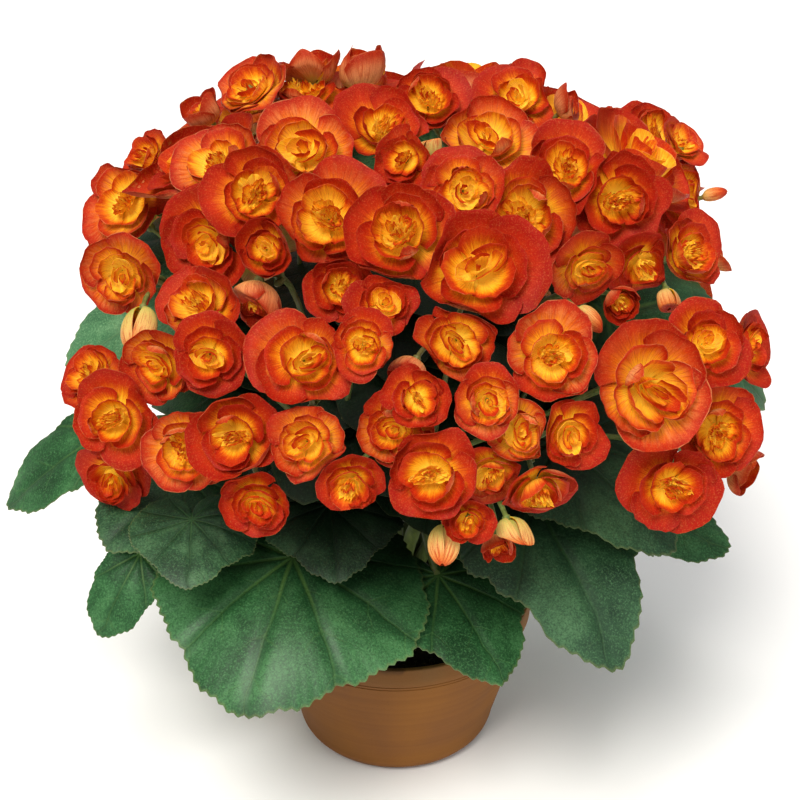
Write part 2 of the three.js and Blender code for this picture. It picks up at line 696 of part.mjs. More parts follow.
// Each cyme's stalk leaves the shoot that is most nearly under it, and ends at its own fork, a
// little way in from the flowers, where the arms go on. A lone flower sits on the stalk's end.
function cymeStalk(cyme) {
  const middle = times(sum(...cyme.map((f) => f.place)), 1 / cyme.length);
  const near = ({ top }) => Math.hypot(top.x - middle.x, top.y - middle.y);
  const fork = forks.reduce((best, one) => (near(one) < near(best) ? one : best));
  const back = times(sum(...cyme.map((f) => f.facing)), 1 / cyme.length).normalize();
  const towards = middle.clone().sub(fork.top).normalize();
  const alone = cyme.length === 1;
  const along = alone ? cyme[0].facing : towards.add(back).normalize();
  const end = middle.clone().addScaledVector(along, alone ? -stalkEnd.depth - clear : -cymeDepth);
  return { start: fork.top, end, along };
}

function stalkCurve({ start, end, along }) {
  const span = start.distanceTo(end);
  const low = start.clone().lerp(end, bends.stalk.start);
  return bezier(start, low, end.clone().addScaledVector(along, -span * bends.stalk.end), end);
}

function armCurve(f, { end, along }) {
  const start = end.clone().addScaledVector(along, clear + stalk.forkRadius);
  const foot = f.place.clone().addScaledVector(f.facing, -stalkEnd.depth);
  const stop = press(foot, neighbourPlanes(f));
  const span = start.distanceTo(stop);
  const low = start.clone().lerp(stop, bends.arm.start);
  return bezier(start, low, stop.clone().addScaledVector(f.facing, -span * bends.arm.end), stop);
}

function petioleCurve(item) {
  const joint = vec(...item.joint);
  const starts = forks.map((fork) => shootCurve(fork).getPoint(petioleStart));
  const low = starts.reduce((best, p) => (p.distanceTo(joint) < best.distanceTo(joint) ? p : best));
  const { along, up } = leafFrame(item);
  const under = joint.clone().addScaledVector(up, -blade.leaf / 2 - 2 * clear);
  const end = under.addScaledVector(along, -petioleInset);
  const span = low.distanceTo(end);
  const rising = low.clone().lerp(end, bends.petiole.start).add(vec(0, 0, span * bends.petiole.rise));
  return bezier(low, rising, end.clone().addScaledVector(up, -span * bends.petiole.end), end);
}

// ---- Leaves -------------------------------------------------------------------------------
// The blade's outline about the petiole's joint: lop-sided and heart-shaped, with shallow lobes,
// a notch behind the joint, and teeth all the way round.
function leafOutline(item, angle) {
  const form = leafForm;
  const a = Math.abs(angle);
  const half = (item.wide / 2) * (angle > 0 ? 1 : form.smallerHalf);
  const drawnOut = form.tipShare * item.point;
  const body = lerp(1 - drawnOut, half, smoothstep(a, 0.1, 1.35));
  const tip = drawnOut * Math.exp(-((a / form.tipAngle) ** 2));
  const back = 1 - form.basal * smoothstep(a, 1.5, 3);
  const notch = 1 - form.notch * Math.exp(-(((Math.PI - a) / form.notchAngle) ** 2));
  const lobes = 1 + form.lobes * Math.cos(form.lobesPerRadian * a);
  return item.length * (body * back * notch * lobes + tip);
}

function leafFrame(item) {
  const heading = rad(item.heading);
  const dip = rad(item.dip);
  const level = vec(Math.cos(heading), Math.sin(heading), 0);
  const along = times(level, Math.cos(dip)).add(vec(0, 0, -Math.sin(dip)));
  const side = vec(-Math.sin(heading), Math.cos(heading), 0).applyAxisAngle(along, rad(item.roll));
  return { along, side, up: along.clone().cross(side).normalize() };
}

// A point of the blade's middle sheet: it bends down along the midrib, and its halves hang.
function leafPoint(item, x, y) {
  const { along, side, up } = leafFrame(item);
  const bend = rad(item.droop) / item.length;
  const turn = bend * Math.max(x, -leafForm.stiffBase * item.length);
  const forward = x > 0 ? Math.sin(turn) / bend : x;
  const drop = (1 - Math.cos(turn)) / bend;
  const hang = (leafForm.hang * y * y) / item.length;
  const wave = leafForm.wave * item.length * Math.sin((5 * y) / item.length + item.heading);
  return sum(vec(...item.joint), times(along, forward), times(side, y), times(up, -drop - hang + wave));
}

function leafSolid(item, teeth = leafForm.teeth, innerCount = leafForm.innerPoints, extra = 0) {
  const ring = [];
  for (let k = 0; k < 2 * teeth; k++) {
    const angle = -Math.PI + (Math.PI * k) / teeth;
    const reach = leafOutline(item, angle) * (k % 2 ? 1 : 1 - leafForm.tooth);
    ring.push([reach * Math.cos(angle), reach * Math.sin(angle)]);
  }
  // The two faces share the toothed outline and stand apart on an inner ring and at the joint.
  const inner = Array.from({ length: innerCount }, (_, k) => {
    const angle = -Math.PI + (2 * Math.PI * (k + 0.5)) / innerCount;
    const reach = leafOutline(item, angle) * leafForm.innerRing;
    return [reach * Math.cos(angle), reach * Math.sin(angle)];
  });
  const { up } = leafFrame(item);
  const n = ring.length;
  const points = ring.map(([x, y]) => leafPoint(item, x, y));
  const half = times(up, blade.leaf / 2 + extra);
  for (const sign of [1, -1])
    for (const [x, y] of [...inner, [0, 0]])
      points.push(leafPoint(item, x, y).addScaledVector(half, sign));
  const triangles = [];
  const innerOf = (k) => Math.min(innerCount - 1, Math.floor((k / n) * innerCount));
  for (const face of [0, 1]) {
    const base = n + face * (innerCount + 1);
    const centre = base + innerCount;
    const add = (a, b, c) => triangles.push(face === 0 ? [a, b, c] : [b, a, c]);
    for (let k = 0; k < n; k++) {
      const next = (k + 1) % n;
      add(k, next, base + innerOf(k));
      if (innerOf(k) !== innerOf(next)) add(base + innerOf(k), next, base + innerOf(next));
    }
    for (let i = 0; i < innerCount; i++) add(base + i, base + ((i + 1) % innerCount), centre);
  }
  return solidOf(points, triangles);
}

const whorlLeaves = Array.from({ length: whorl.count }, (_, k) => {
  const index = 40 + k;
  const heading = whorl.from + (360 * k) / whorl.count + whorl.turnJitter * draw(index, 1);
  const joint = [
    whorl.ring * Math.cos(rad(heading)),
    whorl.ring * Math.sin(rad(heading)),
    whorl.height + whorl.step * k,
  ];
  const dip = whorl.dip + whorl.dipJitter * draw(index, 3);
  return leaf(`whorl_${k}`, joint, heading, dip, 0, whorl.length, whorl.wide, whorl.droop, whorl.point);
});

// ---- Build --------------------------------------------------------------------------------
// Every stem is made twice: as it is, and thicker by the free space, to cut what it passes through.
const stalks = cymes.map(cymeStalk);

function crownSolid(extra) {
  const { from, top, bevel, sides } = crown;
  const radius = crown.radius + extra;
  const profile = [
    [0, from - extra],
    [radius / 2, from - extra],
    [radius, from + radius],
    [radius, top - bevel],
    [radius - bevel, top + extra],
    [0, top + extra],
  ];
  return solidOfGeometry(lathe(profile, sides));
}

function shootSolid(fork, extra) {
  const { radius, sides, beadRadius } = shoots;
  const rod = stem(shootCurve(fork), radius, radius * shoots.taper, sides, 3, extra);
  return join([rod, bead(fork.top, beadRadius + extra)]);
}

const stalkSolid = (item, extra) =>
  stem(stalkCurve(item), stalk.cymeRadius * taper, stalk.cymeRadius, 3, 1, extra);

const petioleSolid = (item, extra) =>
  stem(petioleCurve(item), stalk.petioleRadius, stalk.petioleRadius * taper, 3, 2, extra);

// A leaf of the whorl has fewer teeth than the outer ones, and is one with its petiole.
function whorlSolids(item, extra) {
  const joint = vec(...item.joint);
  const start = vec(0, 0, joint.z - 2 * whorl.ring);
  const at = (share) => start.clone().lerp(joint, share);
  const petiole = bezier(start, at(bends.whorl.start), at(bends.whorl.end), joint);
  const rod = stem(petiole, stalk.whorlRadius, stalk.whorlRadius * taper, 3, 1, extra);
  return [rod, leafSolid(item, whorl.teeth, whorl.innerPoints, extra)];
}

const stemParts = (extra) => [
  ...forks.map((fork) => shootSolid(fork, extra)),
  ...stalks.map((item) => stalkSolid(item, extra)),
  ...leaves.map((item) => petioleSolid(item, extra)),
  ...whorlLeaves.flatMap((item) => whorlSolids(item, extra)),
];

const cymeFork = ({ end, along }, extra) =>
  bead(end.clone().addScaledVector(along, clear + stalk.forkRadius), stalk.forkRadius + extra);

// A cyme as it is, and its fork and arms alone, thicker.
function cymeSolid(cyme, item) {
  if (cyme.length === 1) return flowerSolid(cyme[0]);
  return join([cymeFork(item, 0), ...cyme.map((f) => flowerSolid(f, armCurve(f, item)))]);
}
function cymeArms(cyme, item) {
  if (cyme.length === 1) return [];
  return [cymeFork(item, clear), ...cyme.map((f) => skin(armRings(f, armCurve(f, item), clear)))];
}

const group = new THREE.Group();
group.add(meshOf("pot", makePot(), clay));
group.add(meshOf("soil", makeSoil(crownSolid(clear)), earth));
group.add(meshOf("stems", join([crownSolid(0), ...stemParts(0)]), stemGreen));

const stemRoom = join(stemParts(clear));
const armRoom = cymes.map((cyme, i) => cymeArms(cyme, stalks[i]));
cymes.forEach((cyme, i) => {
  const room = join([stemRoom, ...armRoom.filter((arms, j) => j !== i).flat()]);
  const solid = largest(cymeSolid(cyme, stalks[i]).subtract(room));
  group.add(meshOf(`cyme_${String(i + 1).padStart(2, "0")}`, solid, petalOrange));
});

const leafRoom = join([stemRoom, ...armRoom.flat()]);
leaves.forEach((item) => {
  group.add(meshOf(item.name, largest(leafSolid(item).subtract(leafRoom)), leafGreen));
});

export default group;
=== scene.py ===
import json
import math

import bmesh
import bpy
import numpy as np
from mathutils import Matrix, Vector

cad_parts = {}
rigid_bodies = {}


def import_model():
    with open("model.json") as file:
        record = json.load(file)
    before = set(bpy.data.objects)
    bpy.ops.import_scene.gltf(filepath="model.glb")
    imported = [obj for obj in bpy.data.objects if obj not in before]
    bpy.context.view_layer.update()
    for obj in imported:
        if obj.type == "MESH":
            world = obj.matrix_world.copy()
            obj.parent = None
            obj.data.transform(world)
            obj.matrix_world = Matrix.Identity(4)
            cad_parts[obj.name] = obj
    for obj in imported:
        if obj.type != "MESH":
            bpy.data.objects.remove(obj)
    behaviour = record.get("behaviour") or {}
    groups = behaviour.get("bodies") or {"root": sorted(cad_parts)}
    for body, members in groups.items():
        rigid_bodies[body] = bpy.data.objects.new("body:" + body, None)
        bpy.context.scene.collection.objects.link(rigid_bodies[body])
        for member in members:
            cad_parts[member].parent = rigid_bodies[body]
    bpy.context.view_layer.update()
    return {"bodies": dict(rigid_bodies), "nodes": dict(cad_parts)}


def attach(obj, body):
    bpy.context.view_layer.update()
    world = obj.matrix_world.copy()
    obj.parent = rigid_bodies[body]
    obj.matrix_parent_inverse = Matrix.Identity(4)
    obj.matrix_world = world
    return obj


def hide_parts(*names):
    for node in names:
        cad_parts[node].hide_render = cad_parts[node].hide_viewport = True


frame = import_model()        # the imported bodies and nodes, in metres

body = list(frame["bodies"])[0]
metre = 0.001  # every size below is in millimetres, as the plant was measured
print("frame loaded:", len(frame["nodes"]), "nodes on", body)


# Small helpers for numbers and vectors

def draw(index, trait):  # a repeatable number from -1 to 1 for the index-th thing
    s = math.sin(index * 12.9898 + trait * 78.233) * 43758.5453
    return 2 * (s - math.floor(s)) - 1


def vec(*numbers):
    return np.array(numbers, dtype=float)


def lerp(a, b, share):
    return a + (b - a) * share


def smoothstep(x, low, high):
    t = np.clip((x - low) / (high - low), 0, 1)
    return t * t * (3 - 2 * t)


def unit(v):
    return v / np.linalg.norm(v)


def turned(v, axis, angle):  # v turned about a unit axis
    return (v * math.cos(angle) + np.cross(axis, v) * math.sin(angle)
            + axis * np.dot(axis, v) * (1 - math.cos(angle)))


def bezier(points, t):  # a curve through its first and last of four points, at each t
    t = np.asarray(t, dtype=float)[..., None]
    a, b, c, d = (np.asarray(p, dtype=float) for p in points)
    return (1 - t) ** 3 * a + 3 * t * (1 - t) ** 2 * b + 3 * t * t * (1 - t) * c + t ** 3 * d


def placed(name, data):
    made = bpy.data.objects.new(name, data)
    bpy.context.scene.collection.objects.link(made)
    return made


# A mesh that grows by sheets and tubes, and in the end becomes one piece of the plant

class Growth:
    def __init__(self):
        self.points, self.faces, self.looks, self.count = [], [], [], 0
        self.values = {"along": [], "across": [], "layer": [], "tone": [], "flatX": [], "flatY": []}

    def add(self, points, parts, **values):  # the parts are pairs of some faces and their material
        points = np.asarray(points, dtype=float).reshape(-1, 3)
        for faces, look in parts:
            self.faces.extend((np.asarray(faces) + self.count).tolist())
            self.looks.extend([look] * len(faces))
        self.points.append(points)
        for name, gathered in self.values.items():
            given = np.asarray(values.get(name, 0), dtype=float).reshape(-1)
            gathered.append(np.broadcast_to(given, (len(points),)))
        self.count += len(points)

    def piece(self, name, materials, node, sharp):
        mesh = bpy.data.meshes.new(name)
        mesh.from_pydata((np.concatenate(self.points) * metre).tolist(), [], self.faces)
        for key, gathered in self.values.items():
            numbers = np.concatenate(gathered)
            if np.ptp(numbers) > 0 or numbers[0]:
                layer = mesh.attributes.new(key, "FLOAT", "POINT")
                layer.data.foreach_set("value", numbers.astype(np.float32))
        for material in materials:
            mesh.materials.append(material)
        mesh.polygons.foreach_set("material_index", self.looks)
        mesh.polygons.foreach_set("use_smooth", [True] * len(self.faces))
        mesh.update()
        mesh.set_sharp_from_angle(angle=math.radians(sharp))
        made = placed(name, mesh)
        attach(made, body)
        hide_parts(node)
        return made


def gridNormals(grid, wraps=False):  # of a grid of rows by columns, towards row x column
    down = np.gradient(grid, axis=0)
    if wraps:
        over = (np.roll(grid, -1, 1) - np.roll(grid, 1, 1)) / 2
    else:
        over = np.gradient(grid, axis=1)
    normal = np.cross(down, over)
    return normal / np.maximum(np.linalg.norm(normal, axis=2, keepdims=True), 1e-9)


def gridFaces(rows, columns, start=0, wraps=False):
    index = start + np.arange(rows * columns).reshape(rows, columns)
    if wraps:
        index = np.concatenate([index, index[:, :1]], axis=1)
    a, b = index[:-1, :-1], index[1:, :-1]
    c, d = index[1:, 1:], index[:-1, 1:]
    return np.stack([a, b, c, d], axis=-1).reshape(-1, 4)


def addSheet(growth, grid, thick, looks, **values):  # a thin closed sheet, front and back
    rows, columns = grid.shape[:2]
    half = gridNormals(grid) * (np.asarray(thick, dtype=float) / 2)
    size = rows * columns
    back = gridFaces(rows, columns, size)[:, ::-1]
    index = np.arange(size).reshape(rows, columns)
    rim = np.concatenate([index[:, 0], index[-1, 1:], index[-2::-1, -1], index[0, -2:0:-1]])
    after = np.roll(rim, -1)
    edge = np.stack([after, after + size, rim + size, rim], axis=-1)
    points = np.concatenate([grid + half, grid - half])
    both = {k: np.tile(np.broadcast_to(v, (rows, columns)).reshape(-1), 2) for k, v in values.items()}
    growth.add(points, [(gridFaces(rows, columns), looks[0]), (back, looks[1]), (edge, looks[0])], **both)


def addRings(growth, grid, ends, look, **values):  # rings of points, closed to a solid by two end points
    rows, columns = grid.shape[:2]
    ring, size = np.arange(columns), rows * columns
    after, start = np.roll(ring, -1), size - columns
    walls = gridFaces(rows, columns, wraps=True)[:, ::-1]
    foot = np.stack([after, ring, np.full(columns, size)], axis=-1)
    cap = np.stack([ring + start, after + start, np.full(columns, size + 1)], axis=-1)
    points = np.concatenate([grid.reshape(-1, 3), ends])
    growth.add(points, [(walls, look), (foot, look), (cap, look)], **values)


def turns(sides):  # the angles of points all the way round
    return np.linspace(0, 2 * math.pi, sides, endpoint=False)


def turnedRings(profile, turn):  # the rings of a turned form, from pairs of a radius and a height
    return np.array([np.stack([reach * np.cos(turn), reach * np.sin(turn), np.full_like(turn, z)], axis=-1)
                     for reach, z in profile])


def addTube(growth, path, radii, look, sides, side=(0.3, 1, 0.2), **values):  # a capped round rod
    path = np.asarray(path, dtype=float)
    radii = np.broadcast_to(radii, (len(path),))
    across, turn, rings = vec(*side), turns(sides), []
    for place, forward, radius in zip(path, np.gradient(path, axis=0), radii):
        forward = unit(forward)
        across = unit(across - forward * np.dot(across, forward))
        other = np.cross(forward, across)
        rings.append(place + radius * (np.cos(turn)[:, None] * across + np.sin(turn)[:, None] * other))
    addRings(growth, np.array(rings), [path[0], path[-1]], look, **values)


# Shader maths: a wire is a node's output that can be added, multiplied and so on

def mathsMethod(operation, backwards=False):
    def method(self, *others):
        parts = (self, *others)
        return self.finish.maths(operation, *(parts[::-1] if backwards else parts))
    return method


class Wire:
    def __init__(self, finish, socket):
        self.finish, self.socket = finish, socket

    __add__ = __radd__ = mathsMethod("ADD")
    __sub__ = mathsMethod("SUBTRACT")
    __rsub__ = mathsMethod("SUBTRACT", backwards=True)
    __mul__ = __rmul__ = mathsMethod("MULTIPLY")
    __truediv__ = mathsMethod("DIVIDE")
    __pow__ = mathsMethod("POWER")
    __abs__ = mathsMethod("ABSOLUTE")
    fract = mathsMethod("FRACT")
    sine = mathsMethod("SINE")
    cosine = mathsMethod("COSINE")
    angleFrom = mathsMethod("ARCTAN2")

    def fade(self, low, high, start=0, end=1):  # a smooth step from start at low to end at high
        return self.finish.node(
            "ShaderNodeMapRange", {"interpolation_type": "SMOOTHSTEP"},
            {"Value": self, "From Min": low, "From Max": high, "To Min": start, "To Max": end})


def hexColour(text):  # a colour as a painter's hex number, made linear
    parts = [int(text[i:i + 2], 16) / 255 for i in (0, 2, 4)]
    return tuple(p / 12.92 if p <= 0.04045 else ((p + 0.055) / 1.055) ** 2.4 for p in parts) + (1,)


class Finish:  # one material, with its Principled shader and whatever feeds it
    def __init__(self, name, **uniform):
        self.material = bpy.data.materials.new(name)
        self.material.use_nodes = True
        self.tree = self.material.node_tree
        self.tree.nodes.clear()
        self.shader = self.tree.nodes.new("ShaderNodeBsdfPrincipled")
        output = self.tree.nodes.new("ShaderNodeOutputMaterial")
        self.tree.links.new(self.shader.outputs["BSDF"], output.inputs["Surface"])
        for socket, value in uniform.items():
            self.shader.inputs[socket.replace("_", " ")].default_value = value

    def node(self, kind, settings=None, inputs=None, output=0):
        made = self.tree.nodes.new(kind)
        for key, value in (settings or {}).items():
            if key == "stops":
                while len(made.color_ramp.elements) < len(value):
                    made.color_ramp.elements.new(0.5)
                for element, (position, colour) in zip(made.color_ramp.elements, value):
                    element.position = position
                    element.color = hexColour(colour)
            else:
                setattr(made, key, value)
        for key, value in (inputs or {}).items():
            self.feed(made.inputs[key], value)
        return Wire(self, made.outputs[output])

    def feed(self, socket, value):
        if isinstance(value, Wire):
            self.tree.links.new(value.socket, socket)
        else:
            socket.default_value = hexColour(value) if isinstance(value, str) else value

    def value(self, name):  # what a mesh says of itself at each point
        return self.node("ShaderNodeAttribute", {"attribute_name": name}, output="Fac")

    def place(self):
        return self.node("ShaderNodeTexCoord", output="Object")

    def vector(self, x, y, z):
        return self.node("ShaderNodeCombineXYZ", inputs={"X": x, "Y": y, "Z": z})

    def heightOf(self, vector):
        return self.node("ShaderNodeSeparateXYZ", inputs={0: vector}, output="Z")

    def maths(self, operation, *parts):
        return self.node("ShaderNodeMath", {"operation": operation}, dict(enumerate(parts)))

    def vectorMaths(self, operation, *parts, output=0):
        return self.node("ShaderNodeVectorMath", {"operation": operation}, dict(enumerate(parts)), output)

    def scaled(self, vector, *scale):
        return self.vectorMaths("MULTIPLY", vector, scale)

    def noise(self, vector, scale, detail=3, roughness=0.55, warp=0):
        return self.node("ShaderNodeTexNoise", inputs={
            "Vector": vector, "Scale": scale, "Detail": detail,
            "Roughness": roughness, "Distortion": warp})

    def cells(self, vector, scale, feature="F1"):
        return self.node("ShaderNodeTexVoronoi", {"feature": feature},
                         {"Vector": vector, "Scale": scale}, "Distance")

    def ramp(self, value, *stops):
        return self.node("ShaderNodeValToRGB", {"stops": stops}, {"Fac": value})

    def mix(self, share, first, second):
        return self.node("ShaderNodeMix", {"data_type": "RGBA"}, {0: share, 6: first, 7: second}, 2)

    def covered(self, colour, *layers):  # a colour under others, each with its share and itself
        for share, over in layers:
            colour = self.mix(share, colour, over)
        return colour

    def inside(self, low, high, most):  # how deep a place is in the dome's shade, where painted shade goes
        offset = self.vectorMaths("SUBTRACT", self.place(), dome["centre"] * metre)
        shares = self.vectorMaths("DIVIDE", offset, dome["reach"] * metre)
        return self.vectorMaths("LENGTH", shares, output="Value").fade(low, high, most, 0)

    def bump(self, height, strength, distance):
        return self.node("ShaderNodeBump", inputs={
            "Height": height, "Strength": strength, "Distance": distance * metre})

    def wear(self, **varying):  # what varies over the surface, and the material that it makes
        for socket, value in varying.items():
            self.feed(self.shader.inputs[socket.replace("_", " ")], value)
        return self.material


# Camera, floor and light

studio = {
    "elevation": 32, "distance": 1150, "aimHeight": 213,
    "focal": 2179, "frame": 800, "axisAt": (396, 400),  # in pixels of the photograph
    "sensor": 36, "sees": 20, "floorReach": 6, "floorDrop": 0.0004,  # film width in mm, the rest in metres
    "floorColour": "FAFAF9", "floorShade": "F7F7F6", "worldColour": "FFFFFF", "worldStrength": 0.33,
    "keyFrom": (-0.36, -0.85, 1.4), "keyStrength": 3.35, "keyWidth": 30, "keyColour": "FFFBF4",
}
lamps = [  # name, place, what it looks at, size, watts, colour
    ("fillLamp", (1000, -900, 700), (0, 0, 200), 1100, 5, "F4F8FF"),
    ("topLamp", (100, 500, 1500), (0, 0, 250), 1000, 6, "FFFFFF"),
]
tilt = math.radians(studio["elevation"])
sight = {
    "forward": vec(0, math.cos(tilt), -math.sin(tilt)),
    "right": vec(1, 0, 0),
    "up": vec(0, math.sin(tilt), math.cos(tilt)),
}
eye = vec(0, 0, studio["aimHeight"]) - sight["forward"] * studio["distance"]

# the dome that the flowers stand on
dome = {"centre": vec(10, 0, 227), "reach": vec(187, 178, 160), "bloomInset": 13, "outwardTurn": 0.25}


def makeCamera():
    frameWidth = studio["frame"]
    camera = placed("camera", bpy.data.cameras.new("camera"))
    camera.location = eye * metre
    camera.rotation_euler = (math.pi / 2 - tilt, 0, 0)
    camera.data.sensor_width = studio["sensor"]
    camera.data.lens = studio["focal"] / frameWidth * studio["sensor"]
    camera.data.shift_x = (frameWidth / 2 - studio["axisAt"][0]) / frameWidth
    camera.data.clip_end = studio["sees"]
    bpy.context.scene.camera = camera


def makeLights():
    scene = bpy.context.scene
    scene.view_settings.view_transform = "Standard"
    for name, place, aim, size, watts, colour in lamps:
        data = bpy.data.lights.new(name, "AREA")
        data.size, data.energy, data.color = size * metre, watts, hexColour(colour)[:3]
        lamp = placed(name, data)
        lamp.location = vec(*place) * metre
        lamp.rotation_euler = (Vector(aim) - Vector(place)).to_track_quat("-Z", "Y").to_euler()
    data = bpy.data.lights.new("keyLight", "SUN")
    data.energy, data.angle = studio["keyStrength"], math.radians(studio["keyWidth"])
    data.color = hexColour(studio["keyColour"])[:3]
    key = placed("keyLight", data)
    key.rotation_euler = Vector(studio["keyFrom"]).to_track_quat("Z", "Y").to_euler()
    world = bpy.data.worlds.new("studioLight")
    world.use_nodes = True
    background = world.node_tree.nodes["Background"]
    background.inputs["Color"].default_value = hexColour(studio["worldColour"])
    background.inputs["Strength"].default_value = studio["worldStrength"]
    scene.world = world


def makeFloor():
    finish = Finish("floorPaper", Specular_IOR_Level=0.1)
    grain = finish.noise(finish.place(), 3, 2)
    colour = finish.ramp(grain, (0, studio["floorShade"]), (1, studio["floorColour"]))
    mesh = bpy.data.meshes.new("floor")
    far = studio["floorReach"]
    mesh.from_pydata([(-far, -far, 0), (far, -far, 0), (far, far, 0), (-far, far, 0)], [], [(0, 1, 2, 3)])
    mesh.materials.append(finish.wear(Base_Color=colour, Roughness=0.9))
    floor = placed("floor", mesh)
    floor.location.z = -studio["floorDrop"]


makeCamera()
makeLights()
makeFloor()
print("camera, floor and lights are set")


# Finishes

def clayFinish():
    finish = Finish("firedClay", Specular_IOR_Level=0.25)
    place = finish.place()
    z = finish.heightOf(place)
    clouds = finish.noise(place, 14, 4, warp=0.6)
    grain = finish.noise(place, 900, 2)
    turning = finish.noise(finish.scaled(place, 3, 3, 260), 1, 3)  # the faint rings of the wheel
    specks = finish.cells(place, 420).fade(0.10, 0.22, 1, 0) * finish.noise(place, 60).fade(0.5, 0.7)
    damp = z.fade(0.075, 0.084) * finish.noise(place, 26, 3).fade(0.3, 0.6, 0.35, 0.75)
    soiled = z.fade(0.0865, 0.0915) * finish.noise(place, 90, 4).fade(0.5, 0.62) * 0.7
    clay = finish.covered(
        finish.ramp(clouds * 0.7 + turning * 0.3, (0.3, "6B401A"), (0.5, "7B4D1F"), (0.7, "885823")),
        (specks * 0.35, "4E2F18"), (damp, "6F502D"), (soiled, "3A2514"))  # greyer band, soiled rim
    height = grain * 0.5 + turning * 0.6 + finish.cells(place, 700) * 0.3
    return finish.wear(Base_Color=clay, Roughness=clouds.fade(0.3, 0.7, 0.72, 0.88),
                       Normal=finish.bump(height, 0.35, 0.5))


def earthFinish():
    finish = Finish("pottingEarth", Specular_IOR_Level=0.2)
    place = finish.place()
    lumps = finish.noise(place, 130, 5, 0.65)
    fibres = finish.noise(finish.scaled(place, 60, 400, 200), 1, 4, warp=1.2)
    pale = finish.cells(place, 320).fade(0.08, 0.13, 1, 0)
    peat = finish.covered(finish.ramp(lumps, (0.3, "0A0604"), (0.55, "1D120B"), (0.75, "3A2413")),
                          (fibres.fade(0.6, 0.72) * 0.6, "5A3D20"), (pale * 0.4, "8B7A60"))
    return finish.wear(Base_Color=peat, Roughness=0.95, Normal=finish.bump(lumps + fibres * 0.4, 0.8, 1.5))


def stemFinish():
    finish = Finish("stemGreen", Specular_IOR_Level=0.4)
    place = finish.place()
    lines = finish.noise(finish.scaled(place, 500, 500, 60), 1, 3)
    blush = finish.noise(place, 30, 3) + finish.value("along") * 0.15
    # the last layer is painted shade: deep inside the dome the stems darken to near black
    skin = finish.covered(finish.ramp(lines, (0.3, "55692A"), (0.55, "7A8E42"), (0.8, "9DAE60")),
                          (blush.fade(0.55, 0.75) * 0.35, "9A6A41"),
                          (finish.inside(0.7, 0.95, 0.6), "0A0F05"))
    return finish.wear(Base_Color=skin, Roughness=lines.fade(0.3, 0.7, 0.4, 0.6),
                       Normal=finish.bump(lines, 0.3, 0.3))


petalColours = {  # from the base to the edge
    "front": [(0, "FFDC48"), (0.27, "FCC62E"), (0.4, "F09E18"), (0.51, "D7640E"), (0.64, "BC310B"),
              (0.82, "AA1E09"), (1, "981307")],
    "back": [(0, "A9A945"), (0.18, "D2AE4C"), (0.4, "E6934A"), (0.62, "CC562A"), (0.82, "B02E10"),
             (1, "9A1C06")],
    "bud": [(0, "A9AE52"), (0.22, "D2BC66"), (0.46, "E6B068"), (0.66, "DF8240"), (0.84, "C64218"),
            (1, "A81C06")],
    "pale": "EE9A50", "edge": "EE9C66", "vein": "B23414", "fold": "EDA56C",
    "line": "A02C08", "lightGrain": "FFA05A", "darkGrain": "7A1A04",
}
petalPaintedLight = 0.1  # painted light: emission that stands in for light coming through the petals of the heart


